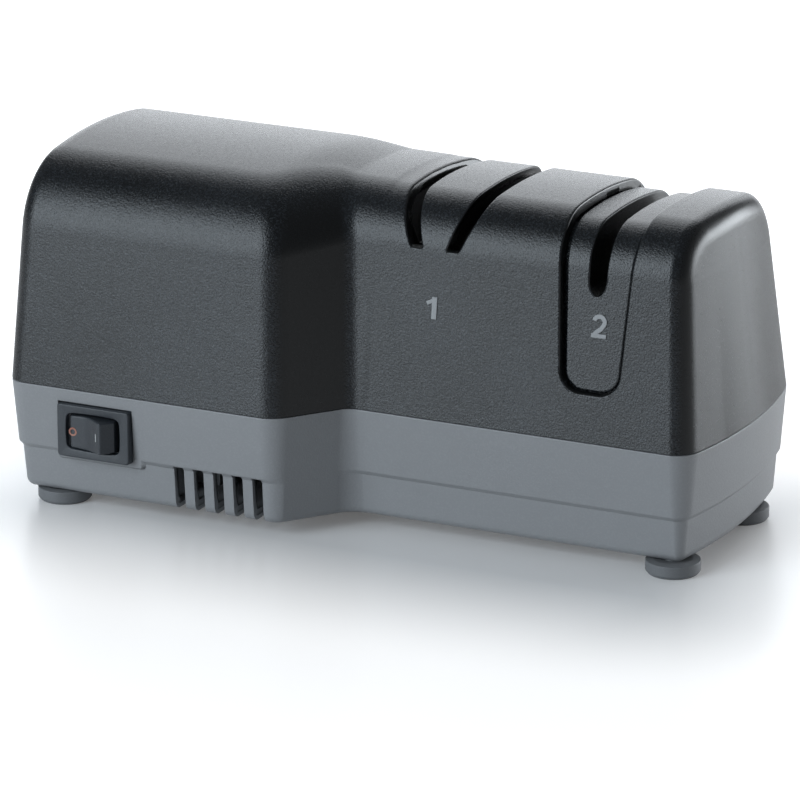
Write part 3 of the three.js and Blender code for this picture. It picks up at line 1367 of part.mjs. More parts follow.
const bladeEnd = bezelBack + switchBody.depth + switchBody.bladeReach;
const bladeUnderside = switchHeight - switchBody.bladeWidth / 2;
const bobbinFace = bobbinEnds[0] - gap;
const lead = { radius: 1.1, bladeInset: 3, low: 4.8, high: 2, fromFlangeEdge: 4.1 };
const leadPlaces = {
  live: [terminalScrews[0].x, terminalY - gap, terminalFoot + terminal.height / 2],
  neutral: [terminalScrews[1].x, terminalY - gap, terminalFoot + terminal.height / 2],
  bladeTip: [switchX - switchBody.bladeOffset, bladeEnd + gap, switchHeight],
  bladeSide: [switchX + switchBody.bladeOffset, bladeEnd - lead.bladeInset, bladeUnderside - gap],
  coilLow: [motorX - coilReach + lead.fromFlangeEdge, bobbinFace, coreBottom - lead.low],
  coilHigh: [motorX - coilReach + lead.fromFlangeEdge, bobbinFace, coreBottom + lead.high],
};
// Each bend lies at shares of the way from the lead's start to its end, along X, Y and Z
const leadRoutes = {
  feed: {
    color: 0x6b3f22,
    from: 'live',
    to: 'bladeTip',
    bendShares: [
      [0, 0.16, 0],
      [0.18, 0.46, 0.12],
      [0.51, 0.48, 0.57],
      [0.93, 0.48, 0.92],
      [1, 0.77, 1],
    ],
  },
  switched: {
    color: 0x22262b,
    from: 'bladeSide',
    to: 'coilLow',
    bendShares: [
      [0.06, 0, 0.57],
      [0.73, 0.19, 1.03],
      [1, 0.58, 1],
    ],
  },
  neutral: {
    color: 0x2f5f9e,
    from: 'neutral',
    to: 'coilHigh',
    bendShares: [
      [0, -0.56, 0.03],
      [0.27, -1.12, 0.39],
      [0.71, -0.64, 0.9],
      [1, 0.24, 1],
    ],
  },
};
for (const [name, { color, from, to, bendShares }] of Object.entries(leadRoutes)) {
  const start = leadPlaces[from];
  const end = leadPlaces[to];
  const bends = bendShares.map((shares) => shares.map((share, i) => mix(start[i], end[i], share)));
  const points = [start, ...bends, end].map((place) => new THREE.Vector3(...place));
  const extrudePath = new THREE.CatmullRomCurve3(points);
  const wire = new THREE.Shape().absarc(0, 0, lead.radius, 0, fullTurn);
  const curveSegments = steps.leadQuarter;
  const options = { steps: steps.lead, curveSegments, bevelEnabled: false, extrudePath };
  const bent = new THREE.ExtrudeGeometry(wire, options);
  piece(`lead_${name}`, solid(bent), finish(color, 0.5));
}

export default sharpener;
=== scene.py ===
import math

import bmesh
import bpy
from mathutils import Matrix, Vector


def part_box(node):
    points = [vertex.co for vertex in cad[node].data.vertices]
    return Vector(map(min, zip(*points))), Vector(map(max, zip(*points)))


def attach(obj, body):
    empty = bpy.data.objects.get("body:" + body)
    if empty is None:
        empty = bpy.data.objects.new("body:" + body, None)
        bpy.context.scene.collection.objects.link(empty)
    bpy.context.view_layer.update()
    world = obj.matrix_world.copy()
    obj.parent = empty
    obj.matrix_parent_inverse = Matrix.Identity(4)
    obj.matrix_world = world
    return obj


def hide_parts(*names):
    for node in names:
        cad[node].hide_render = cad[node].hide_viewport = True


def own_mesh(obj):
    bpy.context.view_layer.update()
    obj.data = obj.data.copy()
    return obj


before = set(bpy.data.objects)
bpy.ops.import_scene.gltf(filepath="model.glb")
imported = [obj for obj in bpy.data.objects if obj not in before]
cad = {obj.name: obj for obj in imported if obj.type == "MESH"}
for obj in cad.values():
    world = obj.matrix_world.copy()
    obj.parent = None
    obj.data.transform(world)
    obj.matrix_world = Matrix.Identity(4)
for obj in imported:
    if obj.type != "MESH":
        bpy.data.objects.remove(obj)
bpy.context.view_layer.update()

mm = 0.001


# Base tray: the grey lower half of the housing, one moulding in satin ABS. A proud band runs round
# it above the foot rim, five vents are cut in its front, and a pad carries the switch. The cover
# is screwed down on it from below.
def span(node):
    """Lowest and highest corner of a CAD node in millimetres."""
    low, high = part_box(node)
    return low / mm, high / mm


def middle(node):
    low, high = span(node)
    return (low + high) / 2


shaft_y, shaft_z = middle("drive_shaft").y, middle("drive_shaft").z
switch_x, switch_z = middle("switch_housing").x, middle("switch_housing").z
inlet_x, inlet_z = middle("cord_inlet_bush").x, middle("cord_inlet_bush").z
left, right = -98.75, 98.75
back = shaft_y + 40.9
front, main_front = back - 91, back - 73
main_middle = (main_front + back) / 2
corner_x, valley_x, seam, foot_height = -17.05, -3.2, 35.0, 4.0
left_round, diagonal_round, valley_round, right_round, least_round = 6.0, 8.8, 6.0, 5.8, 0.8
plan_corners = [
    (left, front, left_round), (corner_x, front, diagonal_round),
    (valley_x, main_front, valley_round), (right, main_front, right_round),
    (right, back, right_round), (left, back, left_round),
]
corner_steps, bow_steps = 12, 20
bow_run, bow_sag = 30.0, 4.5
base_draft, band_step, band_z, bottom_round = 0.0875, 1.0, 16.9, 2.6
skin, overlap, seam_gap = 1.2, 0.8, 0.15
stem_radius, stem_top, cover_screw_head, frame_shift = 2.4, 7.6, 3.2, -0.2
inlet_flange, inlet_body = 7.0, 4.8

# A tool reaches past what it cuts, or starts under the tray. A hole is wider than what it holds.
past, under, clearance = 3.0, 1.0, 0.3


def limit(value):
    return min(1.0, max(0.0, value))


def blend(a, b, share):
    return a + (b - a) * share


def arc(centre, radius, first, last, steps, tall=None):
    """Points from one angle to another on a circle, or on an ellipse with a second radius."""
    angles = [first + (last - first) * k / steps for k in range(steps + 1)]
    return [(centre[0] + radius * math.cos(angle), centre[1] + (tall or radius) * math.sin(angle))
            for angle in angles]


def quarter(steps):
    """A rounded edge of radius one: how far each point lies in from the first and second face."""
    angles = [math.pi / 2 * k / steps for k in range(steps + 1)]
    return [(1 - math.sin(angle), 1 - math.cos(angle)) for angle in angles]


def bowed(x, y, z, draft):
    """The right end is bowed across its width and leans in as it rises."""
    reach = limit((x - (right - bow_run)) / bow_run)
    across = (y - main_middle) / (back - main_middle)
    return x - reach * (bow_sag * across * across + draft * (z - seam))


def plan_ring(inset, z):
    """The housing's outline at one height, set in by an equal amount all round."""
    ring = []
    for i, (x, y, round_radius) in enumerate(plan_corners):
        here = Vector((x, y))
        after = plan_corners[(i + 1) % len(plan_corners)]
        inward = (here - Vector(plan_corners[i - 1][:2])).normalized()
        onward = (Vector(after[:2]) - here).normalized()
        turn = math.asin(inward.cross(onward))
        side = math.copysign(1, turn)
        normal_in, normal_on = Vector((-inward.y, inward.x)), Vector((-onward.y, onward.x))
        spread = inset / (1 + normal_in.dot(normal_on))
        radius = max(round_radius - side * inset, least_round)
        start = here + (normal_in + normal_on) * spread - inward * radius * math.tan(abs(turn) / 2)
        centre = start + normal_in * radius * side
        first = math.atan2(start.y - centre.y, start.x - centre.x)
        ring += arc(centre, radius, first, first + turn, corner_steps)
        if x == right and after[0] == right:
            end_x, end_y = ring[-1]
            far_y = 2 * main_middle - end_y
            ring += [(end_x, blend(end_y, far_y, k / bow_steps)) for k in range(1, bow_steps)]
    return [(bowed(x, y, seam, 0), y, z) for x, y in ring]


def new_object(name, data):
    made = bpy.data.objects.new(name, data)
    bpy.context.scene.collection.objects.link(made)
    return made


def shape(name, points, faces):
    """A mesh object from points in millimetres, with its faces turned outwards."""
    mesh = bpy.data.meshes.new(name)
    mesh.from_pydata([Vector(point) * mm for point in points], [], faces)
    work = bmesh.new()
    work.from_mesh(mesh)
    bmesh.ops.recalc_face_normals(work, faces=work.faces)
    work.to_mesh(mesh)
    work.free()
    return new_object(name, mesh)


def loft(name, rings, looped=False):
    """A closed skin through rings of equal count, capped at both ends unless it loops."""
    count, points, faces = len(rings[0]), [point for ring in rings for point in ring], []
    for row in range(len(rings) if looped else len(rings) - 1):
        here, there = row * count, ((row + 1) % len(rings)) * count
        for i in range(count):
            n = (i + 1) % count
            faces.append((here + i, here + n, there + n, there + i))
    if not looped:
        faces.append(tuple(range(count))[::-1])
        faces.append(tuple(range(len(points) - count, len(points))))
    return shape(name, points, faces)


def block(x0, x1, y0, y1, z0, z1):
    return loft("block", [[(x0, y0, z), (x1, y0, z), (x1, y1, z), (x0, y1, z)] for z in (z0, z1)])


def turned(axis, profile, centre, sides, looped=False):
    """A turned piece from (place along the axis, radius) pairs."""
    rings = []
    for along, radius in profile:
        circle = arc(centre, radius, 0, math.tau, sides)[:-1]
        rings.append([{"x": (along, u, v), "y": (u, along, v), "z": (u, v, along)}[axis]
                      for u, v in circle])
    return loft("turned", rings, looped)


def rod(axis, radius, start, end, centre):
    return turned(axis, [(start, radius), (end, radius)], centre, 40)


def settle(piece, step):
    """Turns what a modifier makes of a piece into its plain mesh."""
    graph = bpy.context.evaluated_depsgraph_get()
    mesh = bpy.data.meshes.new_from_object(piece.evaluated_get(graph))
    piece.modifiers.remove(step)
    used, piece.data = piece.data, mesh
    bpy.data.meshes.remove(used)
    return piece


def combine(body, tool, operation="DIFFERENCE"):
    """Cuts, joins or meets the body with a tool, which is used up."""
    step = body.modifiers.new("combine", "BOOLEAN")
    step.operation, step.object, step.solver = operation, tool, "MANIFOLD"
    settle(body, step)
    bpy.data.objects.remove(tool)
    return body


def cut(body, *tools):
    for tool in tools:
        combine(body, tool)


def add_inside(body, node, region):
    """Welds in what a CAD node holds inside a region: its ribs, bosses, seats and inner walls."""
    copy = new_object(node + "_inside", cad[node].data.copy())
    work = bmesh.new()
    work.from_mesh(copy.data)
    bmesh.ops.remove_doubles(work, verts=work.verts, dist=1e-6)
    work.to_mesh(copy.data)
    work.free()
    copy.data.materials.clear()
    combine(body, combine(copy, region, "INTERSECT"), "UNION")


crease_angle = math.radians(32)


def finish_piece(piece, name, material, body="housing", stands_for=(), even=True):
    """Names a finished piece, gives it its material and shading, and fixes it to its body."""
    piece.name = piece.data.name = name
    piece.data.materials.clear()
    piece.data.materials.append(material)
    for face in piece.data.polygons:
        face.material_index = 0
    piece.data.shade_smooth()
    piece.data.set_sharp_from_angle(angle=crease_angle)
    if even:
        piece.modifiers.new("even", "WEIGHTED_NORMAL").keep_sharp = True
    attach(piece, body)
    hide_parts(*stands_for)


def add_node(tree, kind, settings, sockets, output=0):
    """Adds one node: its settings first, then the values or links of its sockets."""
    made = tree.nodes.new(kind)
    for key, value in settings.items():
        setattr(made, key, value)
    for key, value in sockets.items():
        if isinstance(value, Signal):
            tree.links.new(value.socket, made.inputs[key])
        else:
            made.inputs[key].default_value = value
    return Signal(tree, made.outputs[output])


class Signal:
    """One output of a tree's nodes. Expressions on signals add the maths nodes."""

    def __init__(self, tree, socket):
        self.tree, self.socket = tree, socket

    def node(self, kind, settings, sockets, output=0):
        return add_node(self.tree, "ShaderNode" + kind, settings, sockets, output)

    def maths(self, operation, *others):
        return self.node("Math", {"operation": operation}, dict(enumerate((self, *others))))

    def __add__(self, other):
        return self.maths("ADD", other)

    def __sub__(self, other):
        return self.maths("SUBTRACT", other)

    def __rsub__(self, other):
        return self.maths("MULTIPLY", -1).maths("ADD", other)

    def __mul__(self, other):
        return self.maths("MULTIPLY", other)

    __radd__, __rmul__ = __add__, __mul__

    def clip(self, low, high):
        """0 below low, 1 above high, and a smooth rise between."""
        return self.node("MapRange", {"interpolation_type": "SMOOTHSTEP"},
                         {"Value": self, "From Min": low, "From Max": high})

    def noise(self, scale, detail=2.0, roughness=0.5):
        return self.node("TexNoise", {}, {"Vector": self, "Scale": scale, "Detail": detail,
                                          "Roughness": roughness}, "Fac")

    def grains(self, size):
        return self.node("TexVoronoi", {}, {"Vector": self, "Scale": 1 / size}, "Distance")

    def mix(self, first, second):
        """A colour between two, by this share."""
        return self.node("Mix", {"data_type": "RGBA"}, {0: self, 6: first, 7: second}, 2)

    def vector(self, operation, other=(0, 0, 0), output=0):
        return self.node("VectorMath", {"operation": operation}, {0: self, 1: other}, output)

    def stretch(self, factors):
        return self.node("Mapping", {}, {"Vector": self, "Scale": factors})

    def axis(self, name):
        return self.node("SeparateXYZ", {}, {"Vector": self}, name)


def surface(name, roughness, metallic=0.0):
    """A material with its fixed values on the shader, and the place on the piece as a signal."""
    made = bpy.data.materials.new(name)
    made.use_nodes = True
    tree = made.node_tree
    shader = tree.nodes["Principled BSDF"]
    shader.inputs["Roughness"].default_value = roughness
    shader.inputs["Metallic"].default_value = metallic
    return made, shader, Signal(tree, tree.nodes.new("ShaderNodeTexCoord").outputs["Object"])


def wire(shader, **signals):
    names = {"colour": "Base Color", "glow": "Emission Color"}
    for key, signal in signals.items():
        signal.tree.links.new(signal.socket, shader.inputs[names.get(key, key.capitalize())])


def bump(height, strength, distance):
    return height.node("Bump", {}, {"Strength": strength, "Distance": distance, "Height": height})


def moulded(name, dark, light, roughness, grain, depth, shade_and_polish_from=None):
    """Spark-eroded moulded plastic with fine specks. Beyond a place along X, walls that face along X and
    the floors of openings below the roof are polished, as the mould slides there, and their colour is
    painted near-black there as painted shade."""
    made, shader, place = surface(name, roughness)
    mottle = place.noise(38, 3.0).clip(0.3, 0.7)
    fine = place.noise(1 / (grain * mm), 2.0, 0.55)
    specks = place.noise(0.8 / (grain * mm), 1.0).clip(0.45, 0.7)
    colour = (mottle * 0.3 + specks * 0.7).mix((*dark, 1), (*light, 1))
    height, matt = fine, roughness - 0.08 + fine * 0.16
    if shade_and_polish_from is not None:
        normal = place.node("NewGeometry", {}, {}, "Normal")
        sideways = normal.axis("X").maths("ABSOLUTE").clip(0.4, 0.75)
        below_roof = 1 - place.axis("Z").clip(82.5 * mm, 83.5 * mm)
        polish_and_painted_shade = sideways.maths("MAXIMUM", normal.axis("Z").clip(0.4, 0.75) * below_roof)
        polish_and_painted_shade = polish_and_painted_shade * place.axis("X").clip(shade_and_polish_from * mm, shade_and_polish_from * mm + mm)
        # Painted shade: walls facing along X and floors of openings turn near-black in the colour, to
        # darken the insides of the slots and the notch.
        colour = polish_and_painted_shade.mix(colour, (0.003, 0.0035, 0.004, 1))
        height = fine * (1 - polish_and_painted_shade * 0.95)
        matt = matt + polish_and_painted_shade * 0.04
    wire(shader, colour=colour, roughness=matt, normal=bump(height, depth, 0.3 * mm))
    return made


def base_inset(z):
    return base_draft * (seam - z)


def rim_inset(z):
    return base_inset(z) + band_step


def faded_ring(inset, z):
    """The step under the band fades out over the two rounds of the diagonal wall."""
    ring = plan_ring(inset, z)
    flush = plan_ring(max(base_inset(z), inset - band_step), z)
    points = corner_steps + 1
    for i in range(points, 3 * points):
        share = 1 - (i - points) / corner_steps if i < 2 * points else (i - 2 * points) / corner_steps
        ring[i] = tuple(blend(a, b, share) for a, b in zip(flush[i], ring[i]))
    return ring


def base_rings():
    """The tray's outside from its soft top edge over the band down to its rounded bottom edge."""
    top, round_start = seam - seam_gap, foot_height + bottom_round
    rings = [(base_inset(z) + extra, z) for extra, z in
             ((0.34, top), (0.16, top - 0.05), (0.04, top - 0.16), (0, top - 0.34),
              (0, band_z + 0.5), (0.05, band_z + 0.2), (0.2, band_z))]
    rings += [(rim_inset(band_z - 0.9) - 0.1, band_z - 0.9), (rim_inset(band_z - 1.1), band_z - 1.1)]
    rings += [(rim_inset(round_start) + bottom_round * inward, round_start - bottom_round * (1 - rest))
              for rest, inward in quarter(10)]
    return [faded_ring(inset, z) for inset, z in rings]


def base_within(name, depth, top, tuck):
    """The space inside the tray at one depth under its skin."""
    low = foot_height + depth
    return loft(name, [plan_ring(base_inset(seam) + depth, top),
                       plan_ring(base_inset(band_z) + depth, band_z),
                       plan_ring(rim_inset(band_z) + depth, band_z - 0.6),
                       plan_ring(rim_inset(low) + depth + tuck, low)])


def upright_outline(x, z, width, height, radius, y, bulge=0.0):
    """A rectangle with round corners that stands in one plane across Y. Its sides can swell."""
    corners = []
    for k, (side_x, side_z) in enumerate(((1, -1), (1, 1), (-1, 1), (-1, -1))):
        centre = (side_x * (width / 2 - radius), side_z * (height / 2 - radius))
        corners.append(arc(centre, radius, math.pi / 2 * (k - 1), math.pi / 2 * k, 8))
    swollen = []
    for k, corner in enumerate(corners):
        (u, v), (next_u, next_v) = corner[-1], corners[(k + 1) % 4][0]
        straight = [(blend(u, next_u, n / 8), blend(v, next_v, n / 8)) for n in range(1, 8)]
        for u, v in corner + straight:
            share_u, share_v = 2 * u / width, 2 * v / height
            swollen.append((x + u + bulge * share_u * (1 - share_v * share_v), y,
                            z + v + bulge * share_v * (1 - share_u * share_u)))
    return swollen


def front_hole(x, z, half_width, half_height, depth):
    return block(x - half_width, x + half_width, front - past, front + depth,
                 z - half_height, z + half_height)


base_plastic = moulded("base_plastic", (0.267, 0.27, 0.278), (0.287, 0.291, 0.3), 0.34, 0.45, 0.2)
base = loft("base", base_rings())
pad_x, pad_z, pad_width, pad_height = switch_x + 0.5, switch_z - 4.3, 26.2, 9.6
pad = loft("pad", [plan_ring(base_inset(z), z)
                   for z in (pad_z + pad_height / 2, pad_z - pad_height / 2)])
pad_face = [upright_outline(pad_x, pad_z, pad_width + grow, pad_height + grow, 1 + grow / 2, y)
            for y, grow in ((front - past, -1.2), (front + 1.5, -1.2), (front + 2.6, 0.6),
                            (front + 5, 0.6))]
combine(base, combine(pad, loft("pad_face", pad_face), "INTERSECT"), "UNION")
vents, vent_x, vent_width, vent_pitch, vent_depth = 5, corner_x - 31.3, 3.0, 5.9, 12.0
vent_top, flange_seat, inlet_depth, screw_top = 16.8, 1.9, 8.5, 22.0
feet_nodes = [node for node in cad if node.startswith("foot_")]
cover_screw_nodes = [node for node in cad if node.startswith("cover_screw_")]
plate_x, plate_length, plate_half = span("clean_out_cover")[0].x, 46.0, 11.0
cut(base,
    base_within("hollow", skin, seam + past, 0.6),
    *[block(x, x + vent_width, front - past, front + vent_depth, under, vent_top)
      for x in (vent_x + vent_pitch * k for k in range(vents))],
    front_hole(switch_x, switch_z, 9.9, 6.75, 14),
    front_hole(switch_x + frame_shift, switch_z, 11.3, 7.8, 1.66),
    rod("y", inlet_flange + clearance, back - flange_seat, back + past, (inlet_x, inlet_z)),
    rod("y", inlet_body + clearance, back - inlet_depth, back + past, (inlet_x, inlet_z)),
    *[rod("z", stem_radius + clearance, under, stem_top + clearance, middle(node)[:2])
      for node in feet_nodes],
    *[rod("z", cover_screw_head + clearance, under, screw_top, middle(node)[:2])
      for node in cover_screw_nodes],
    block(plate_x - clearance, plate_x + plate_length + clearance, shaft_y - plate_half - clearance,
          shaft_y + plate_half + clearance, under, foot_height + 1 + clearance))
add_inside(base, "base_tray", base_within("region", overlap, seam + 8, 1.2))
finish_piece(base, "base_tray_shell", base_plastic, stands_for=["base_tray"])


# Feet: four grey rubber discs with a turned-in lower edge. Each is pushed into the floor of the
# base tray by a stem of its own.
def geometry_tree(name, **kinds):
    """A Geometry Nodes tree with named inputs, and its inputs as signals."""
    tree = bpy.data.node_groups.new(name, "GeometryNodeTree")
    tree.interface.new_socket("Geometry", in_out="OUTPUT", socket_type="NodeSocketGeometry")
    for key, kind in {"Geometry": "Geometry", **kinds}.items():
        tree.interface.new_socket(key, in_out="INPUT", socket_type="NodeSocket" + kind)
    start = tree.nodes.new("NodeGroupInput")
    return tree, {socket.name: Signal(tree, socket) for socket in start.outputs if socket.name}


def end_tree(tree, made, finish):
    made = add_node(tree, "GeometryNodeRealizeInstances", {}, {"Geometry": made})
    made = add_node(tree, "GeometryNodeSetMaterial", {}, {"Geometry": made, "Material": finish})
    out = tree.nodes.new("NodeGroupOutput")
    tree.links.new(made.socket, out.inputs[0])


def grown(name, tree, places=((0, 0, 0),), **values):
    """Runs a tree on points in millimetres and returns its result as a plain mesh."""
    piece = shape(name, places, [])
    step = piece.modifiers.new(name, "NODES")
    step.node_group = tree
    for item in tree.interface.items_tree:
        if item.in_out == "INPUT" and item.name in values:
            step[item.identifier] = values[item.name]
    return settle(piece, step)


copies, given = geometry_tree("copies_in_places", Unit="Object", Spin="Vector", Seed="Int",
                              Finish="Material")
unit = add_node(copies, "GeometryNodeObjectInfo", {}, {"Object": given["Unit"]}, "Geometry")
chance = add_node(copies, "FunctionNodeRandomValue", {"data_type": "FLOAT"},
                  {"Seed": given["Seed"]}, 1)
random_turn = add_node(copies, "ShaderNodeVectorMath", {"operation": "SCALE"},
                       {0: given["Spin"], "Scale": chance})
set_out = add_node(copies, "GeometryNodeInstanceOnPoints", {},
                   {"Points": given["Geometry"], "Instance": unit, "Rotation": random_turn})
end_tree(copies, set_out, given["Finish"])


def finish_copies(unit_piece, name, nodes, material, body="housing", places=None,
                  spin=(0, 0, 0), seed=1):
    """Sets one piece out in the middle of each node, or in given places, as one finished piece."""
    places = places or [middle(node) for node in nodes]
    made = grown(name, copies, places, Unit=unit_piece, Spin=spin, Seed=seed, Finish=material)
    bpy.data.objects.remove(unit_piece)
    finish_piece(made, name, material, body, stands_for=nodes)


def rounded(corners, steps=4):
    """A closed outline whose corners (u, v, radius) are rounded by arcs."""
    outline = []
    for i, (u, v, radius) in enumerate(corners):
        if not radius:
            outline.append((u, v))
            continue
        here = Vector((u, v))
        before = (Vector(corners[i - 1][:2]) - here).normalized()
        after = (Vector(corners[(i + 1) % len(corners)][:2]) - here).normalized()
        half = math.acos(max(-1, min(1, before.dot(after)))) / 2
        centre = here + (before + after).normalized() * radius / math.sin(half)
        first, last = here + before * radius / math.tan(half), here + after * radius / math.tan(half)
        start = math.atan2(first.y - centre.y, first.x - centre.x)
        turn = math.atan2(last.y - centre.y, last.x - centre.x) - start
        turn = (turn + math.pi) % math.tau - math.pi
        outline += arc(centre, radius, start, start + turn, steps)
    return outline


def worked(name, dark, light, roughness, metallic=0.0, grain=0.6, depth=0.25, stretch=(1, 1, 1)):
    """A finish with its own grain: colour, roughness and relief vary together, along a lay."""
    made, shader, place = surface(name, roughness, metallic)
    fine, broad = place.stretch(stretch).noise(1 / (grain * mm), 3.0, 0.6), place.noise(45)
    spread = 0.08
    wire(shader,
         colour=(fine * 0.6 + broad * 0.4).clip(0.32, 0.68).mix((*dark, 1), (*light, 1)),
         roughness=roughness - spread / 2 + fine * spread + (broad - 0.5) * spread,
         normal=bump(fine, depth, 0.1 * mm))
    return made


rubber = worked("foot_rubber", (0.15, 0.154, 0.16), (0.175, 0.179, 0.186), 0.5, grain=0.35)
foot_radius, foot_top = 7.4, 3.7
foot_corners = [(0, foot_radius - 1.2, 0), (0, 6.7, 0.3), (0.85, foot_radius, 0.35),
                (foot_top, foot_radius, 0.25), (foot_top, 5.4, 0.2), (foot_top, stem_radius, 0),
                (stem_top, stem_radius, 0)]
foot_profile = [(0, foot_radius - 1.5), *rounded(foot_corners)[1:-1], (stem_top, stem_radius - 0.4)]
finish_copies(turned("z", foot_profile, (0, 0), 64), "rubber_feet", feet_nodes, rubber,
              places=[(*middle(node)[:2], 0) for node in feet_nodes])


# Upper cover: the near-black upper half, moulded in the same grained ABS. Its deep left end holds
# the motor, a diagonal wall steps in to the slim right part, and the knife slots and the notch for
# the hand stage are moulded through its roof.
stage_one_x, stage_two_x = middle("disk_spring").x, middle("honing_axle").x
motor_roof, main_roof, above_roof = 97.4, 94.0, 100.4
wall_draft, left_draft, right_draft = 0.125, 0.03, 0.11
motor_round, main_round, crown_radius = 22.0, 16.0, 150.0
left_top_round, right_top_round, end_steps, inside_reach = 5.0, 6.0, 12, 12.0
ramp_start, ramp_end, ramp_lag = -18.7, 3.4, 1.6
motor_apex, main_apex = back - 46.5, back - 42.9
wall_turn = math.atan2(main_front - front, valley_x - corner_x)
lean_share = math.tan(wall_turn / 2)
corner_start = corner_x - diagonal_round * lean_share
corner_end = corner_start + diagonal_round * math.sin(wall_turn)
valley_end = valley_x + valley_round * lean_share
valley_start = valley_end - valley_round * math.sin(wall_turn)


def front_line(x):
    """Where the front wall stands at the seam, over the diagonal wall's two rounds."""
    if x <= corner_start:
        return front
    if x <= corner_end:
        rise = math.sqrt(diagonal_round ** 2 - (x - corner_start) ** 2)
        return front + diagonal_round - rise
    if x < valley_start:
        return front + (x - corner_x) * math.tan(wall_turn)
    if x < valley_end:
        return main_front - valley_round + math.sqrt(valley_round ** 2 - (x - valley_end) ** 2)
    return main_front


def arch(x, skin_side, skin_roof, extra_draft, bottom):
    """The housing's upright outline at one place along X, from the front foot over to the rear, and
    how many of its points come before the crown."""
    share = limit((x - ramp_start) / (ramp_end - ramp_start)) ** ramp_lag
    main = share * share * (3 - 2 * share)
    draft = wall_draft + extra_draft
    walls = (front_line(x) + skin_side, back - skin_side)
    apex = blend(motor_apex, main_apex, main)
    crown_centre = blend(motor_roof, main_roof, main) - skin_roof - crown_radius
    radius = blend(motor_round, main_round, main) - skin_roof
    # A round touches its wall and the crown, so its centre is closed in on step by step.
    centres = []
    for wall_y, side in zip(walls, (1, -1)):
        z = seam
        for _ in range(40):
            y = wall_y + side * (draft * (z - seam) + radius * math.hypot(1, draft))
            z = crown_centre + math.sqrt((crown_radius - radius) ** 2 - (y - apex) ** 2)
        centres.append((y, z))
    slope = math.atan(draft)
    crown_first, crown_last = (math.atan2(z - crown_centre, y - apex) for y, z in centres)
    points = [(walls[0] + draft * (bottom - seam), bottom)]
    points += arc(centres[0], radius, math.pi - slope, crown_first, 18)
    crown_begin = len(points)
    points += arc((apex, crown_centre), crown_radius, crown_first, crown_last, 12)[1:]
    points += arc(centres[1], radius, crown_last, slope, 18)[1:]
    return points + [(walls[1] - draft * (bottom - seam), bottom)], crown_begin


def cover_section(x, side, top, depths, narrowing=1.0):
    """The arch, set in by the rounds of the ends, and leaned with the diagonal and the end walls."""
    skin_side, skin_roof, extra_draft, bottom = depths
    points, crown_begin = arch(x, skin_side + side, skin_roof + top, extra_draft, bottom)
    lean = lean_share if corner_start <= x <= valley_end else 0
    reach = limit((valley_x - x) / (valley_x - left))
    ring = []
    for i, (wide, z) in enumerate(points):
        y = main_middle + (wide - main_middle) * narrowing
        inset = (wide if i < crown_begin else points[crown_begin - 1][0]) - front_line(x)
        moved = x - lean * inset + reach * left_draft * (z - seam)
        ring.append((bowed(moved, y, z, right_draft), y, z))
    return ring


def cover_loft(name, depths):
    """The cover's form at a depth under its sides and its roof, with a draft and a lower end."""
    skin_side, skin_roof = depths[:2]
    left_side, right_side = (max(size - skin_side, least_round) for size in (left_round, right_round))
    left_top, right_top = (max(size - skin_roof, least_round)
                           for size in (left_top_round, right_top_round))
    stations = [(left + skin_side + left_side * gap, left_side * inward, left_top * inward)
                for gap, inward in quarter(end_steps)[::-1]]
    places = [corner_start + diagonal_round * math.sin(wall_turn * k / 6) for k in range(7)]
    places += [blend(corner_end, valley_start, k / 24) for k in range(1, 24)]
    places += [valley_end - valley_round * math.sin(wall_turn * k / 8) for k in range(8, -1, -1)]
    places += [blend(valley_end, ramp_end, k / 4) for k in range(1, 5)]
    stations += [(x, 0, 0) for x in places + [right - bow_run]]
    stations += [(right - skin_side - right_side * gap, right_side * inward, right_top * inward)
                 for gap, inward in quarter(end_steps)]
    rings = [cover_section(*station, depths) for station in stations]
    rings += [cover_section(*stations[-1], depths, 1 - k / 16) for k in range(1, 16)]
    return loft(name, rings)


slot_floor, slot_corner = 80.5, 0.5
slot_near, near_lean, slot_far, far_lean = 3.55, 0.32, 6.95, 0.42


def leaning_slot(side):
    """Outline of one knife slot of stage 1, from its top left down and round to its top right."""
    ends = sorted([(side * slot_near, side * near_lean), (side * slot_far, side * far_lean)])
    (x0, lean0), (x1, lean1) = [(stage_one_x + place, lean) for place, lean in ends]
    rise, corner, bend = above_roof - slot_floor, slot_corner, quarter(4)[1:4]
    ring = [(x0 + lean0 * rise, above_roof), (x0 + lean0 * corner, slot_floor + corner)]
    ring += [(x0 + corner * across, slot_floor + corner * up) for up, across in bend]
    ring += [(x0 + corner, slot_floor), (x1 - corner, slot_floor)]
    ring += [(x1 - corner * across, slot_floor + corner * up) for up, across in bend[::-1]]
    return ring + [(x1 + lean1 * corner, slot_floor + corner), (x1 + lean1 * rise, above_roof)]


notch_floor, notch_half, notch_corner, notch_flare = 47.9, 8.55, 6, 0.0514


def notch_outline(grow):
    """Outline of the notch for stage 2, grown all round, in the same order."""
    floor, half, corner = notch_floor - grow, notch_half + grow, notch_corner + grow
    top_half = half + notch_flare * (above_roof - floor)
    ring = [(stage_two_x - top_half, above_roof)]
    for side, first in ((-1, math.pi), (1, 1.5 * math.pi)):
        centre = (stage_two_x + side * (half - corner), floor + corner)
        ring += arc(centre, corner, first, first + math.pi / 2, 12)
    return ring + [(stage_two_x + top_half, above_roof)]


def prism_y(name, outline):
    return loft(name, [[(x, y, z) for x, z in outline] for y in (front - past, back + past)])


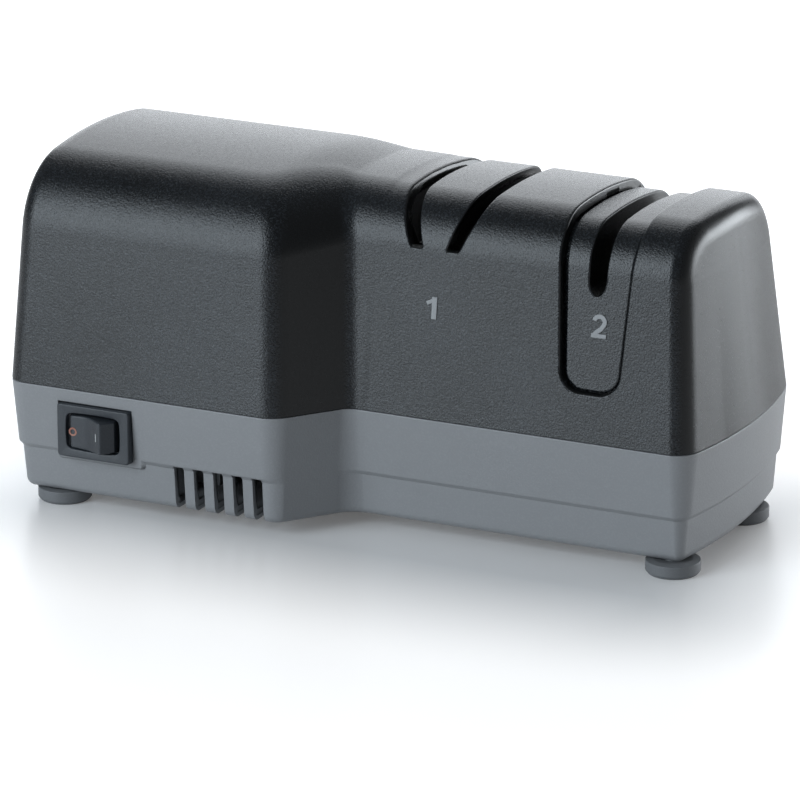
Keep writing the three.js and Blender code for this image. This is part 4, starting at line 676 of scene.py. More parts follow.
def edge_cutter(name, outline, depths, radius, inside=1):
    """A tool that rounds the edge which an outline leaves in the skin, all the way round the loop.
    With inside -1 it rounds what stands within the outline instead."""
    profile = arch(right - bow_run, *depths)[0]
    bottom, spring, proud = outline[1:-1], outline[1][1], 0.4
    centre_x = sum(x for x, z in bottom) / len(bottom)

    def facing(z, step):
        """Place and slope of a wall at a height: of the front one with step 1, the rear with -1."""
        for (y0, z0), (y1, z1) in list(zip(profile, profile[1:]))[::step]:
            if min(z0, z1) <= z <= max(z0, z1):
                along = Vector((0, y1 - y0, z1 - z0)).normalized()
                return blend(y0, y1, (z - z0) / (z1 - z0)), along
        raise ValueError(z)

    over = [(y, z, Vector((0, after[0] - before[0], after[1] - before[1])).normalized())
            for before, (y, z), after in zip(profile, profile[1:], profile[2:]) if z > spring + 0.05]
    low, high = ((y, spring, along) for y, along in (facing(spring, 1), facing(spring, -1)))
    over = [low, *over, high]
    loop = []
    for sign, ((x0, z0), (x1, z1)) in ((-1, outline[:2]), (1, outline[-2:])):
        slant = Vector((x1 - x0, 0, z1 - z0)).normalized()
        across = Vector((slant.z, 0, -slant.x))
        across *= sign * math.copysign(1, across.x)
        for y, z, along in over[::-sign]:
            place = Vector((blend(x0, x1, (z - z0) / (z1 - z0)), y, z))
            loop.append((place, along, across, Vector((sign, 0, 0))))
        path = bottom[::-sign]
        for before, (x, z), after in zip(path, path[1:], path[2:]):
            run = Vector((after[0] - before[0], 0, after[1] - before[1])).normalized()
            across = Vector((run.z, 0, -run.x))
            if across.x * (x - centre_x) < across.z:
                across.negate()
            y, along = facing(z, sign)
            outward = Vector((1, 0, 0)) * across.x + along * sign * across.z
            loop.append((Vector((x, y, z)), along, across, outward))
    rings = []
    for place, along, across, away in loop:
        normal = Vector((0, -along.z, along.y))
        away, across = away.normalized() * inside, across * inside
        inward = (-normal + across * normal.dot(across)).normalized()
        edge = [place + away * radius * gap + inward * radius * depth for gap, depth in quarter(5)]
        rings.append([place + away * radius + normal * proud, *edge,
                      place + inward * radius - away * proud, place - away * proud + normal * proud])
    return loft(name, rings, looped=True)


def hollow_out(body, node, side, roof, extra_draft):
    """Hollows a moulding under its skin and welds in the ribs and bosses of its CAD node."""
    cut(body, cover_loft("hollow", (side + skin, roof + skin, extra_draft, seam - past)))
    region = cover_loft("region", (side + overlap, roof + overlap, extra_draft,
                                  seam - inside_reach))
    add_inside(body, node, region)


# From x = -60 mm on, the cover's slot and notch walls and floors get near-black painted shade in their
# colour.
cover_plastic = moulded("cover_plastic", (0.002, 0.003, 0.004), (0.024, 0.028, 0.033), 0.26, 0.45,
                        0.45, shade_and_polish_from=-60)
cover_depths = (0, 0, 0, seam + seam_gap)
cover = cover_loft("cover", cover_depths)
for opening, edge_radius in ((leaning_slot(-1), 0.65), (leaning_slot(1), 0.65),
                             (notch_outline(0), 0.7)):
    cut(cover, prism_y("opening", opening))
    cut(cover, edge_cutter("opening_edge", opening, cover_depths, edge_radius))
hollow_out(cover, "upper_cover", 0, 0, 0)
finish_piece(cover, "upper_cover_shell", cover_plastic, stands_for=["upper_cover"])


# Stage 2 module: a separate dark insert pushed up into the notch from inside. Its face and roof
# sit a little below the cover's, its edges are rounded, and the blade's slot ends in a round floor
# that lies deeper in the middle.
plug_side, plug_roof, plug_draft = 1.0, 2.3, 0.02
plug_depths = (plug_side, plug_roof, plug_draft, seam)
slot_half, slot_flare, round_z, round_depth = 2.3, 0.508, 78.2, 4.7
hand_slot = [(stage_two_x - slot_half - slot_flare, above_roof),
             *arc((stage_two_x, round_z), slot_half, math.pi, math.tau, 20, round_depth),
             (stage_two_x + slot_half + slot_flare, above_roof)]
slot_drop, drop_start, drop_full = 2.6, 7, 10.5
slot_tool = loft("hand_slot", [[(x, y, z if z == above_roof else z - drop) for x, z in hand_slot]
                               for y, drop in ((front - past, 0), (main_front + drop_start, 0),
                                               (main_front + drop_full, slot_drop),
                                               (back - drop_full, slot_drop),
                                               (back - drop_start, 0), (back + past, 0))])
plug_outline = [(x + 0.3, z - 0.3) for x, z in notch_outline(-0.65)]
plug = combine(cover_loft("plug", plug_depths), prism_y("plug_sides", plug_outline), "INTERSECT")
cut(plug, edge_cutter("plug_edge", plug_outline, plug_depths, 0.75, -1),
    edge_cutter("hand_slot_edge", hand_slot, plug_depths, 0.6))
hollow_out(plug, "stage_two_module", plug_side, plug_roof, plug_draft)
cut(plug, slot_tool)
finish_piece(plug, "stage_two_insert", cover_plastic,
             stands_for=["stage_two_module"])


# Stage digits: a raised "1" on the cover and a "2" on the module, each moulded in light grey and
# welded through from behind. Every stroke is one bar of even width.
digit_finish = worked("digit_grey", (0.27, 0.275, 0.28), (0.33, 0.335, 0.34), 0.36, grain=0.4)


def stroke_ring(line, width):
    """Outline of one bar of even width along a line of points."""
    sides = [[], []]
    for i, here in enumerate(line):
        before, after = line[max(i - 1, 0)], line[min(i + 1, len(line) - 1)]
        along = (after - before).normalized()
        for side, sign in zip(sides, (1, -1)):
            side.append(here + Vector((-along.y, along.x)) * sign * width / 2)
    return sides[0] + sides[1][::-1]


def digit(name, strokes, height, x, z, recess, slope):
    """Joins a digit's strokes, drawn one unit high, on a front wall that leans back by a slope."""
    foot = Vector((x, main_front + recess + slope * (z - seam), z))
    up, out = Vector((0, slope, 1)).normalized(), Vector((0, -1, slope)).normalized()
    root, stands_proud, soft = -0.3, 0.34, 0.16
    bars = []
    for line, width in strokes:
        rings = []
        for depth, inset in ((root, 0), (stands_proud - soft, 0), (stands_proud - soft / 3, soft / 3),
                             (stands_proud, soft)):
            trimmed = [Vector(point) * height for point in line]
            for end, inner in ((0, 1), (-1, -2)):
                trimmed[end] += (trimmed[inner] - trimmed[end]).normalized() * inset
            ring = stroke_ring(trimmed, width * height - 2 * inset)
            rings.append([foot + Vector((u, 0, 0)) + up * v + out * depth for u, v in ring])
        bars.append(loft(name, rings))
    finish_piece(combine(*bars, "UNION"), name, digit_finish)


digit("digit_one", [([(0.05, 0), (0.05, 1)], 0.26), ([(0.05, 0.9), (-0.14, 0.78), (-0.33, 0.69)], 0.17)],
      6.0, 19.9, 62.0, 0, wall_draft)
curl = arc((0.02, 0.675), 0.235, math.radians(172), math.radians(-33), 10, 0.225)
digit("digit_two", [(curl + [(0.1, 0.38), (-0.09, 0.24), (-0.22, 0.09)], 0.2),
                    ([(-0.33, 0.09), (0.36, 0.09)], 0.18)],
      6.4, 67.0, 62.6, plug_side, wall_draft + plug_draft)


# Rocker switch: a black frame snaps into the pad on the base, and the rocker tilts in it on two
# pins. Its faces meet in a fold and rise to a ridge at each end, with a printed ring and bar.
switch_plastic = moulded("switch_black", (0.031, 0.036, 0.043), (0.039, 0.045, 0.053), 0.33, 0.3, 0.2)
face_y, plate_y = span("switch_housing")[0].y, front + 1.36
frame_rings = [(frame_shift, 22.0, 15.0, 1.0, plate_y, 0),
               (frame_shift, 22.0, 15.0, 1.0, face_y + 0.62, 0),
               (frame_shift, 21.9, 14.9, 1.0, face_y + 0.3, 0),
               (frame_shift, 21.5, 14.5, 0.9, face_y + 0.06, 0),
               (frame_shift, 21.1, 14.1, 0.9, face_y, 0), (-0.3, 16.3, 10.6, 1.4, face_y + 0.1, 0.3),
               (-0.3, 15.9, 10.0, 1.3, face_y + 0.24, 0.3), (-0.3, 15.7, 9.7, 1.2, face_y + 0.6, 0.3),
               (-0.3, 15.7, 9.7, 1.2, face_y + 4, 0.1), (0, 15.6, 9.6, 0.5, plate_y + 1, 0)]
switch_frame = loft("frame", [upright_outline(switch_x + shift, switch_z, *ring)
                              for shift, *ring in frame_rings], looped=True)
add_inside(switch_frame, "switch_housing", block(switch_x - 12, switch_x + 12, plate_y - 0.3,
                                                 plate_y + 40, switch_z - 9, switch_z + 9))
finish_piece(switch_frame, "switch_frame", switch_plastic,
             stands_for=["switch_housing"])

pivot = Vector((switch_x, face_y + 3.6, switch_z))
rest_turn, rocker_half, rocker_edge, rocker_pin = math.radians(-17), 4.5, 0.45, 5.1
rocker_reach, middle_swell, end_taper = 7.25, 1.05, 0.09
ridge, ridge_height, fold_height = 5.4, 5.7, 4.1
rocker_corners = [(-7.55, -1.7, 0.6), (-5.6, -ridge_height, 0.8), (0, -fold_height, 8),
                  (ridge, -ridge_height, 0.8), (rocker_reach, -1.6, 0.6), (5.6, 4.4, 0.6),
                  (-5.6, 4.4, 0.6)]


def in_rocker(u, v, z):
    """A place in the rocker's own frame, turned to its place at rest."""
    return (pivot.x + u * math.cos(rest_turn) - v * math.sin(rest_turn),
            pivot.y + u * math.sin(rest_turn) + v * math.cos(rest_turn), pivot.z + z)


rocker_rings = []
for end in (-1, 1):
    for gap, inward in quarter(5)[::-end]:
        inset, height = rocker_edge * gap, end * (rocker_half - rocker_edge * inward)
        narrow, shallow = 1 - inset / 7, 1 - inset / 5
        outline = rounded([(u * narrow, v * shallow, size) for u, v, size in rocker_corners])
        swell = [middle_swell - end_taper * (u / rocker_reach) ** 2 for u, v in outline]
        rocker_rings.append([in_rocker(u, v, height * more) for (u, v), more in zip(outline, swell)])
rocker = loft("rocker", rocker_rings)
combine(rocker, rod("z", 1, switch_z - rocker_pin, switch_z + rocker_pin, pivot.xy), "UNION")
finish_piece(rocker, "rocker", switch_plastic, body="rocker",
             stands_for=["switch_rocker"])


def on_rocker(side, share, across, z, proud):
    """A place on one sloping face: share 0 at the fold and 1 at the ridge."""
    slope = Vector((side * ridge, fold_height - ridge_height)).normalized()
    out = Vector((slope.y, -slope.x)) * side
    base_u, base_v = side * ridge * share, -blend(fold_height, ridge_height, share)
    return in_rocker(base_u + slope.x * across + out.x * proud,
                     base_v + slope.y * across + out.y * proud, z)


print_off, shader, place = surface("ring_print", 0.5)
wire(shader, colour=place.noise(900).clip(0.35, 0.65).mix((0.34, 0.13, 0.09, 1),
                                                             (0.4, 0.19, 0.14, 1)))
print_on = worked("bar_print", (0.5, 0.5, 0.5), (0.62, 0.62, 0.62), 0.45, grain=0.3)
print_top, print_root, ring_share, bar_share = 0.03, -0.05, 0.88, 0.68
ring_edges = ((1.22, print_root), (1.2, print_top), (0.74, print_top), (0.72, print_root))
ring_circles = [[(*point, rise) for point in arc((0, 0), radius, 0, math.tau, 48)[:-1]]
                for radius, rise in ring_edges]
off_ring = loft("ring", [[on_rocker(-1, ring_share, *point) for point in points]
                         for points in zip(*ring_circles)], looped=True)
finish_piece(off_ring, "off_ring", print_off, body="rocker")
bar_corners = ((-0.17, -1.1), (0.17, -1.1), (0.17, 1.1), (-0.17, 1.1))
on_bar = loft("bar", [[on_rocker(1, bar_share, *corner, rise) for corner in bar_corners]
                      for rise in (print_root, print_top)])
finish_piece(on_bar, "on_bar", print_on, body="rocker")


# Cord inlet: a black bush through the rear wall with a rounded flange outside and a nut ring
# inside. It is hollow for the mains cord.
inlet_low, inlet_high = span("cord_inlet_bush")
inlet_bore, inlet_nut = 3.4, 6.0
nut_end, flange_start = inlet_low.y + 2, inlet_high.y - 1.4
inlet_profile = rounded([(inlet_low.y, inlet_bore, 0.3), (inlet_low.y, inlet_nut, 0.4),
                         (nut_end, inlet_nut, 0.3), (nut_end, inlet_body, 0),
                         (flange_start, inlet_body, 0), (flange_start, inlet_flange, 0.2),
                         (inlet_high.y, inlet_flange, 0.9), (inlet_high.y, inlet_bore, 0.5)])
inlet = turned("y", inlet_profile, (inlet_x, inlet_z), 64, looped=True)
finish_piece(inlet, "cord_inlet", switch_plastic, stands_for=["cord_inlet_bush"])


# Clean-out: a grey plate slides over the opening below the disks, and a bar magnet above it
# holds the steel dust.
ferrite = worked("ferrite", (0.03, 0.031, 0.034), (0.06, 0.062, 0.068), 0.55, 0.3, 0.25, 0.5)


def dress(material, *nodes):
    """Gives CAD nodes that keep their own shape a material."""
    for node in nodes:
        for slot in cad[node].material_slots:
            slot.material = material


dress(base_plastic, "clean_out_cover")
dress(ferrite, "filings_magnet", "guide_magnet_left", "guide_magnet_right")


# Motor: a shaded-pole motor with its laminated core on edge, one copper coil on the lower leg,
# and two cast zinc brackets that hold the shaft in bronze bushes.
laminated, shader, place = surface("laminated_steel", 0.42, 0.85)
sheet_thickness = 0.5
sheet = (place.axis("X") * (1 / (sheet_thickness * mm))).maths("FRACT")
grooves = (sheet - 0.5).maths("ABSOLUTE").clip(0.36, 0.5)
patina = place.noise(140, 3.0)
wire(shader, colour=(grooves * 0.7 + patina * 0.4).clip(0.1, 0.9).mix((0.2, 0.21, 0.22, 1),
                                                                    (0.07, 0.065, 0.06, 1)),
     roughness=0.34 + patina * 0.2, normal=bump(1 - grooves, 0.5, 0.1 * mm))
cast_zinc = worked("cast_zinc", (0.3, 0.305, 0.31), (0.42, 0.425, 0.43), 0.48, 0.9, 1.1, 0.4)
bronze = worked("sintered_bronze", (0.36, 0.21, 0.09), (0.5, 0.31, 0.14), 0.4, 1.0, 0.2, 0.35)
natural_nylon = worked("natural_nylon", (0.62, 0.59, 0.5), (0.72, 0.69, 0.6), 0.45, grain=1.2,
                       depth=0.1)
bright_steel = worked("bright_steel", (0.5, 0.51, 0.52), (0.62, 0.63, 0.64), 0.26, 1.0, 0.5, 0.12,
                      (0.15, 1, 1))
copper = worked("enamelled_copper", (0.4, 0.13, 0.045), (0.56, 0.22, 0.08), 0.3, 0.9, 0.8, 0.15)
dress(laminated, "motor_core", "motor_rotor")
dress(natural_nylon, "coil_bobbin")
dress(cast_zinc, "bearing_bracket_left", "bearing_bracket_right")


def sleeve(half, radius, inner_round, outer_round, sides):
    """A ring that sits on the shaft."""
    corners = [(-half, shaft_bore, inner_round), (half, shaft_bore, inner_round),
               (half, radius, outer_round), (-half, radius, outer_round)]
    return turned("x", rounded(corners), (0, 0), sides, looped=True)


shaft_bore = 3.3
finish_copies(sleeve(3.5, 4.7, 0.25, 0.5, 40), "shaft_bushes",
              ["bush_left", "bush_right", "bush_end"], bronze)

winding, given = geometry_tree("winding", Width="Float", Height="Float", Corner="Float",
                               Wire="Float", Pitch="Float", Turns="Int", Finish="Material")
path = add_node(winding, "GeometryNodeCurvePrimitiveQuadrilateral", {},
                {"Width": given["Width"], "Height": given["Height"]})
path = add_node(winding, "GeometryNodeFilletCurve", {"mode": "POLY"},
                {"Curve": path, "Radius": given["Corner"], "Count": 7, "Limit Radius": True})
section = add_node(winding, "GeometryNodeCurvePrimitiveCircle", {},
                   {"Resolution": 8, "Radius": given["Wire"]})
one_turn = add_node(winding, "GeometryNodeCurveToMesh", {}, {"Curve": path, "Profile Curve": section})
climb = add_node(winding, "ShaderNodeCombineXYZ", {}, {"Z": given["Pitch"]})
row = add_node(winding, "GeometryNodeMeshLine", {"mode": "OFFSET"},
               {"Count": given["Turns"], "Offset": climb})
wound = add_node(winding, "GeometryNodeInstanceOnPoints", {}, {"Points": row, "Instance": one_turn})
end_tree(winding, wound, given["Finish"])

coil_low, coil_high = span("motor_coil")
coil_middle = (coil_low + coil_high) / 2
coil_width, coil_height = coil_high.x - coil_low.x, coil_high.z - coil_low.z
wire_radius, coil_pitch, coil_sink, coil_corner = 0.42, 0.87, 1.2, 7.8
coil_turns = int((coil_high.y - coil_low.y - 2 * wire_radius) / coil_pitch)
turns = grown("turns", winding, Width=(coil_width - 2 * wire_radius) * mm,
              Height=(coil_height - 2 * wire_radius) * mm, Corner=coil_corner * mm,
              Wire=wire_radius * mm, Pitch=coil_pitch * mm, Turns=coil_turns, Finish=copper)
start_y = coil_middle.y + (coil_turns - 1) * coil_pitch / 2
turns.data.transform(Matrix.Translation(Vector((coil_middle.x, start_y, coil_middle.z)) * mm)
                     @ Matrix.Rotation(math.pi / 2, 4, "X"))
outside, inside = (coil_width - coil_sink, coil_height - coil_sink, 7.6), (33.8, 15.8, 1.8)
pack = loft("pack", [upright_outline(coil_middle.x, coil_middle.z, *sizes, y) for sizes, y in
                     ((outside, coil_low.y), (outside, coil_high.y), (inside, coil_high.y),
                      (inside, coil_low.y))], looped=True)


def joined(first, second):
    """Puts a second closed body into the first piece's mesh."""
    work = bmesh.new()
    work.from_mesh(first.data)
    work.from_mesh(second.data)
    work.to_mesh(first.data)
    work.free()
    bpy.data.objects.remove(second)
    return first


finish_piece(joined(pack, turns), "motor_winding", copper, stands_for=["motor_coil"])


# Spindle: the steel shaft carries the rotor, the white fan and, in stage 1, two drive pins and
# two collars. It turns as one.
def round_bar(axis, radius, chamfer, start, end, centre, sides):
    profile = [(start, radius - chamfer), (start + chamfer, radius), (end - chamfer, radius),
               (end, radius - chamfer)]
    return turned(axis, profile, centre, sides)


shaft_low, shaft_high = span("drive_shaft")
shaft_line = (shaft_y, shaft_z)
pin_nodes = ["drive_pin_left", "drive_pin_right"]
pin_radius, pin_half = 1.0, 5.2
shaft = round_bar("x", 3, 0.6, shaft_low.x, shaft_high.x, shaft_line, 40)
cut(shaft, *[rod("z", 1.2, shaft_z - 6, shaft_z + 6, middle(node)[:2]) for node in pin_nodes])
finish_piece(shaft, "main_shaft", bright_steel, body="spindle", stands_for=["drive_shaft"])
pin = round_bar("z", pin_radius, 0.3, -pin_half, pin_half, (0, 0), 24)
finish_copies(pin, "drive_pins", pin_nodes, bright_steel, body="spindle")
finish_copies(sleeve(0.85, 5.5, 0.2, 0.3, 48), "disk_collars",
              ["disk_collar_left", "disk_collar_right"], bright_steel, body="spindle")

white_nylon = worked("fan_nylon", (0.6, 0.6, 0.57), (0.68, 0.68, 0.65), 0.42, grain=0.9, depth=0.1)
bladed, given = geometry_tree("bladed_wheel", Blade="Object", Blades="Int", Finish="Material")
row = add_node(bladed, "GeometryNodePoints", {}, {"Count": given["Blades"]})
number = add_node(bladed, "GeometryNodeInputIndex", {}, {})
blade_angle = (number * math.tau).maths("DIVIDE", given["Blades"])
blade_turn = add_node(bladed, "ShaderNodeCombineXYZ", {}, {"X": blade_angle})
unit = add_node(bladed, "GeometryNodeObjectInfo", {}, {"Object": given["Blade"]}, "Geometry")
ring_of = add_node(bladed, "GeometryNodeInstanceOnPoints", {},
                   {"Points": row, "Instance": unit, "Rotation": blade_turn})
end_tree(bladed, ring_of, given["Finish"])
fan_low, fan_high = span("cooling_fan")
fan_radius, fan_hub, fan_plate = 24, 6.5, 1.4
blade_root, blade_tip, blade_sweep, blade_half = 5.8, 23.6, 2.4, 0.7
blade_lines = []
for k in range(9):
    share = k / 8
    reach, sweep = blend(blade_root, blade_tip, share), blade_sweep * math.sin(math.pi * share)
    blade_lines.append([(x, sweep + side * blade_half * (1.15 - 0.4 * share), reach)
                        for x, side in ((fan_low.x, -0.8), (fan_low.x, 0.8),
                                        (fan_high.x - fan_plate / 2, 1),
                                        (fan_high.x - fan_plate / 2, -1))])
blade = loft("blade", blade_lines)
blades = grown("blades", bladed, Blade=blade, Blades=8, Finish=white_nylon)
blades.data.transform(Matrix.Translation(Vector((0, shaft_y, shaft_z)) * mm))
bpy.data.objects.remove(blade)
fan_profile = rounded([(fan_low.x, shaft_bore, 0.2), (fan_low.x, fan_hub, 0.5),
                       (fan_high.x - fan_plate, fan_hub, 0.8),
                       (fan_high.x - fan_plate, fan_radius, 0.3), (fan_high.x, fan_radius, 0.3),
                       (fan_high.x, shaft_bore, 0.2)])
hub = turned("x", fan_profile, shaft_line, 72, looped=True)
finish_piece(joined(hub, blades), "fan_wheel", white_nylon, body="spindle",
             stands_for=["cooling_fan"])


# Stage 1 disks: two shallow steel cones coated with diamond grit face outwards on the shaft. A
# helical spring between them presses each against its collar, and a pin drives each by a slot.
grit, shader, place = surface("diamond_grit", 0.55, 0.7)
offset = place.vector("SUBTRACT", Vector((0, shaft_y, shaft_z)) * mm).stretch((0, 1, 1))
coated = offset.vector("LENGTH", output="Value").clip(8.2 * mm, 9.0 * mm)
grains, worn = place.grains(0.3 * mm), place.noise(120, 3.0)
coat = (grains * 0.9 + worn * 0.5).clip(0.2, 0.9).mix((0.33, 0.31, 0.25, 1), (0.15, 0.145, 0.125, 1))
wire(shader, colour=coated.mix((0.48, 0.49, 0.5, 1), coat),
     roughness=0.3 + coated * 0.3 + worn * 0.08, metallic=1 - coated * 0.45,
     normal=bump(grains * coated, 0.6, 0.08 * mm))
disk_radius, disk_thickness, disk_slope, face_radius, face_out = 25.0, 1.6, 0.21, 21, 5.3
boss_radius, boss_inner, boss_outer, recess_radius = 7.5, 2.95, 9.65, 6
pin_slot_end, pin_slot_half, pin_slot_reach = 7.45, pin_radius + clearance, pin_half + clearance


def disk_face(radius):
    """How far out from the middle of stage 1 the coated face stands at a radius."""
    return face_out - disk_slope * (radius - face_radius)


for side, name in ((-1, "left"), (1, "right")):
    profile = [(stage_one_x + side * out, radius, soft) for out, radius, soft in (
        (boss_outer, shaft_bore, 0.2), (boss_outer, boss_radius, 0.5),
        (disk_face(boss_radius), boss_radius, 0.6), (disk_face(disk_radius), disk_radius, 0.3),
        (disk_face(disk_radius) - disk_thickness, disk_radius, 0.3),
        (disk_face(recess_radius) - disk_thickness, recess_radius, 0.4),
        (boss_inner, recess_radius, 0.4), (boss_inner, shaft_bore, 0.2))]
    disk = turned("x", rounded(profile), shaft_line, 96, looped=True)
    ends = sorted([stage_one_x + side * pin_slot_end, stage_one_x])
    cut(disk, block(*ends, shaft_y - pin_slot_half, shaft_y + pin_slot_half,
                    shaft_z - pin_slot_reach, shaft_z + pin_slot_reach))
    finish_piece(disk, f"grinding_disk_{name}", grit, body=f"disk_{name}",
                 stands_for=[f"abrasive_disk_{name}"])

helix, given = geometry_tree("helix", Coil="Float", Wire="Float", Length="Float", Turns="Float",
                             Finish="Material")
line = add_node(helix, "GeometryNodeCurveSpiral", {},
                {"Resolution": 32, "Rotations": given["Turns"], "Start Radius": given["Coil"],
                 "End Radius": given["Coil"], "Height": given["Length"]})
section = add_node(helix, "GeometryNodeCurvePrimitiveCircle", {},
                   {"Resolution": 10, "Radius": given["Wire"]})
wound = add_node(helix, "GeometryNodeCurveToMesh", {},
                 {"Curve": line, "Profile Curve": section, "Fill Caps": True})
end_tree(helix, wound, given["Finish"])
spring_half, spring_wire, spring_radius = 2.65, 0.35, 4.5
for side, name in ((-1, "left"), (1, "right")):
    half = grown("half", helix, Coil=spring_radius * mm, Wire=spring_wire * mm,
                 Length=(spring_half - 2 * spring_wire) * mm, Turns=2.0, Finish=bright_steel)
    seat = Vector((stage_one_x + side * spring_wire, shaft_y, shaft_z)) * mm
    half.data.transform(Matrix.Translation(seat) @ Matrix.Rotation(side * math.pi / 2, 4, "Y"))
    finish_piece(half, f"disk_spring_{name}", bright_steel, body="spindle",
                 stands_for=["disk_spring"] if side < 0 else [], even=False)
    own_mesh(half)


# Knife guide: a black block under the roof with both leaning slots. It hangs on two screws and
# holds a magnet beside each slot.
guide_plastic = moulded("guide_black", (0.004, 0.004, 0.005), (0.008, 0.008, 0.009), 0.5, 0.5, 0.2)
dress(guide_plastic, "knife_guide", "wheel_keeper")


# Stage 2 wheels: two crossed honing wheels spin freely on a steel axle in the module, and a black
# keeper under them closes their pocket.
honing, shader, place = surface("honing_ceramic", 0.6, 0.2)
grains = place.grains(0.22 * mm)
tone = (grains * 0.8 + place.noise(200, 3.0) * 0.5).clip(0.25, 0.85)
wire(shader, colour=tone.mix((0.42, 0.4, 0.34, 1), (0.26, 0.245, 0.2, 1)),
     roughness=0.5 + grains * 0.2, normal=bump(grains, 0.5, 0.06 * mm))
axle_low, axle_high = span("honing_axle")
axle_line = middle("honing_axle").yz
wheel_radius, wheel_boss, wheel_bore = 9.5, 4.6, 2.3
for side, name in ((-1, "left"), (1, "right")):
    profile = [(stage_two_x + side * along, radius, soft) for along, radius, soft in
               ((6, wheel_bore, 0.2), (6, wheel_boss, 0.4), (5.1, wheel_boss, 0.3),
                (3.9, wheel_radius, 0.3), (2.7, wheel_radius, 0.3), (0.25, 3.6, 0.3),
                (0.25, wheel_bore, 0.2))]
    wheel = turned("x", rounded(profile), axle_line, 72, looped=True)
    finish_piece(wheel, f"honing_wheel_{name}_fine", honing, body=f"wheel_{name}",
                 stands_for=[f"honing_wheel_{name}"])
axle = round_bar("x", 2, 0.4, axle_low.x, axle_high.x, axle_line, 32)
finish_piece(axle, "wheel_axle", bright_steel, stands_for=["honing_axle"])


# Terminal block and leads: the ivory block clamps the mains, and three PVC leads run from it to
# the switch and the coil.
ivory = worked("terminal_ivory", (0.6, 0.57, 0.48), (0.7, 0.67, 0.58), 0.4, grain=0.8, depth=0.12)
dress(ivory, "terminal_block")
for name, node, dark, light in (
        ("lead_brown", "lead_feed", (0.12, 0.04, 0.012), (0.17, 0.06, 0.02)),
        ("lead_black", "lead_switched", (0.018, 0.019, 0.022), (0.03, 0.031, 0.035)),
        ("lead_blue", "lead_neutral", (0.025, 0.09, 0.3), (0.04, 0.13, 0.38))):
    dress(worked(name, dark, light, 0.35, grain=0.5), node)


# Screws and bolts: zinc-plated steel. Pan heads with a cross recess hold the cover, the guide and
# the keeper, slotted ones the mains, and two long bolts hold the motor brackets.
plated = worked("zinc_plated", (0.42, 0.43, 0.44), (0.58, 0.59, 0.6), 0.3, 1.0, 0.5, 0.15)


def screw_unit(axis, head_radius, head_height, shank_radius, length, pitch, slots):
    """One screw, head first from zero along its axis. Its thread is a row of turned ridges."""
    core, point = 0.84 * shank_radius, 1.2
    profile = [(0, head_radius * 0.62), (0.12 * head_height, head_radius * 0.84),
               (0.4 * head_height, head_radius * 0.97), (0.7 * head_height, head_radius),
               (head_height, head_radius), (head_height, shank_radius)]
    place = head_height + 2 * pitch
    while pitch and place < length - 2 * pitch:
        profile += [(place, core), (place + pitch / 2, shank_radius)]
        place += pitch
    profile += [(length - point, core), (length, shank_radius * 0.3)]
    screw = turned(axis, profile, (0, 0), 32)
    long, wide, deep = head_radius * 0.62, head_radius * 0.13, head_height * 0.55
    for first, second in slots:
        u, v = blend(wide, long, first), blend(wide, long, second)
        sizes = (-1, deep, -u, u, -v, v) if axis == "x" else (-u, u, -v, v, -1, deep)
        cut(screw, block(*sizes))
    return screw


cross, slotted = ((0, 1), (1, 0)), ((0, 1.4),)
screw_sets = [
    ("cover_screws", "cover_screw_", "z", (cover_screw_head, 2.4, 1.6), 1.1, cross),
    ("guide_screws", "guide_screw_", "z", (3.0, 2.2, 1.5), 1.0, cross),
    ("keeper_screws", "keeper_screw_", "z", (2.4, 1.8, 1.2), 0.9, cross),
    ("motor_bolts", "motor_bolt_", "x", (3.4, 2.6, 1.8), 0, slotted),
]
for seed, (name, prefix, axis, sizes, pitch, slots) in enumerate(screw_sets):
    nodes = [node for node in cad if node.startswith(prefix)]
    low, high = span(nodes[0])
    unit_screw = screw_unit(axis, *sizes, getattr(high - low, axis), pitch, slots)
    places = []
    for node in nodes:
        place = middle(node)
        setattr(place, axis, getattr(span(node)[0], axis))
        places.append(place)
    spin = (math.pi, 0, 0) if axis == "x" else (0, 0, math.pi)
    finish_copies(unit_screw, name, nodes, plated, places=places, spin=spin, seed=seed)
dress(plated, "terminal_screw_left", "terminal_screw_right")


# Studio: a pale floor, three soft boxes and a long lens at the photograph's angle. The world is white
# for the camera and a faint fill light otherwise. The floor glows for the camera and in gloss, but its
# glow fades out close to the object: a painted shadow round the object, added to its real shadow.
target = Vector((6.1, front + 30.03, 35)) * mm
azimuth, elevation, distance = math.radians(25.5), math.radians(18), 1539 * mm
away = Vector((math.sin(azimuth) * math.cos(elevation), -math.cos(azimuth) * math.cos(elevation),
               math.sin(elevation)))


def studio_piece(name, data, place, towards):
    """Sets up a camera or a lamp at a place in metres, turned to look along a direction."""
    made = new_object(name, data)
    made.location = place
    made.rotation_mode = "QUATERNION"
    made.rotation_quaternion = towards.to_track_quat("-Z", "Y")
    return made


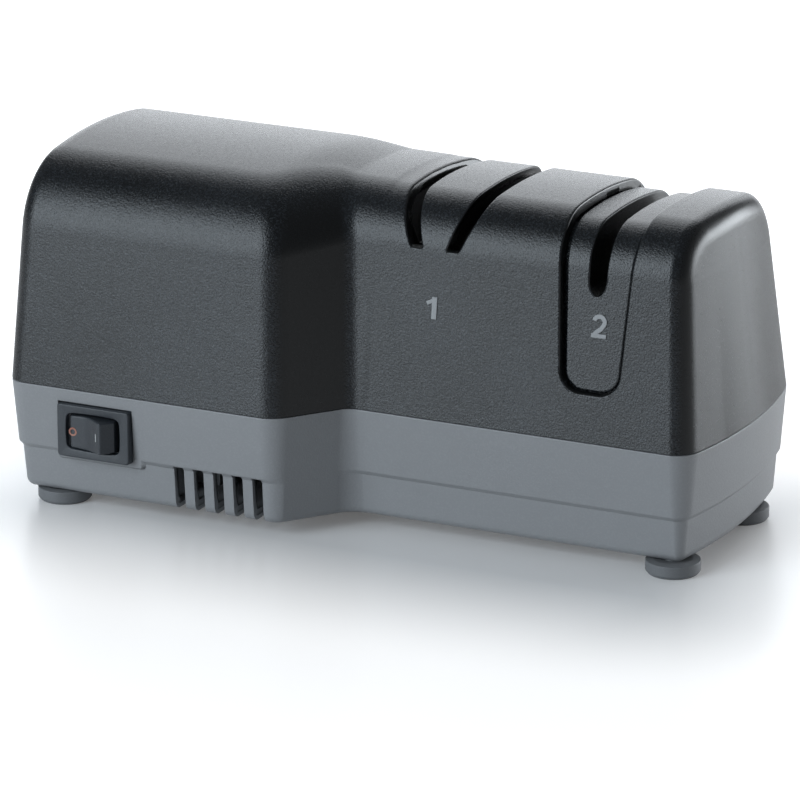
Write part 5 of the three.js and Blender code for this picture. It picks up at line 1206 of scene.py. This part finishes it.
camera_data = bpy.data.cameras.new("camera")
camera_data.sensor_width, camera_data.lens = 36, 5726 / 800 * 36
camera_data.clip_start, camera_data.clip_end = 0.1, 20
bpy.context.scene.camera = studio_piece("camera", camera_data, target + away * distance, -away)

for name, place, width, height, watts, colour in (
        ("key_box", (-0.72, -1.3, 0.6), 1.1, 1.2, 18, (0.82, 0.92, 1)),
        ("back_box", (-0.52, 1.425, 0.78), 1.6, 1.95, 18, (0.92, 0.96, 1)),
        ("end_box", (0.99, 1.0, 0.13), 1.3, 0.46, 15, (0.9, 0.955, 1))):
    lamp = bpy.data.lights.new(name, "AREA")
    lamp.shape, lamp.size, lamp.size_y = "RECTANGLE", width, height
    lamp.energy, lamp.color = watts, colour
    studio_piece(name, lamp, place, -Vector(place))

world = bpy.data.worlds.new("studio")
bpy.context.scene.world = world
world.use_nodes = True
background = world.node_tree.nodes["Background"]
background.inputs["Color"].default_value = (0.9, 0.95, 1, 1)
camera_ray = Signal(world.node_tree, world.node_tree.nodes.new("ShaderNodeLightPath").outputs[0])
level = camera_ray * 0.85 + 0.15
world.node_tree.links.new(level.socket, background.inputs["Strength"])

floor_half = 4000
floor = block(-floor_half, floor_half, -floor_half, floor_half, -5, 0)
floor_finish, shader, place = surface("floor_white", 0.3)
shader.inputs["Base Color"].default_value = (0.86, 0.865, 0.87, 1)
shader.inputs["Emission Strength"].default_value = 1
to_camera, to_gloss, to_glass = (place.node("LightPath", {}, {}, f"Is {kind} Ray")
                                 for kind in ("Camera", "Glossy", "Transmission"))
seen = to_camera.maths("MAXIMUM", to_gloss * 0.4).maths("MAXIMUM", to_glass)
beyond = place.vector("ABSOLUTE").vector("SUBTRACT", (90 * mm, 38 * mm, 1)).vector("MAXIMUM")
apart = beyond.vector("LENGTH", output="Value")
# Painted shadow: the glow fades out towards the object's footprint, so the floor is darker round the
# object whatever the lamps do.
glow = (seen * apart.clip(-24 * mm, 72 * mm)).mix((0, 0, 0, 1), (0.6, 0.59, 0.583, 1))
far = apart.clip(500 * mm, 2500 * mm) * to_camera
wire(shader, glow=far.mix(glow, (1, 1, 1, 1)))
floor.name = "floor"
floor.data.materials.append(floor_finish)

bpy.context.scene.view_settings.view_transform = "Standard"
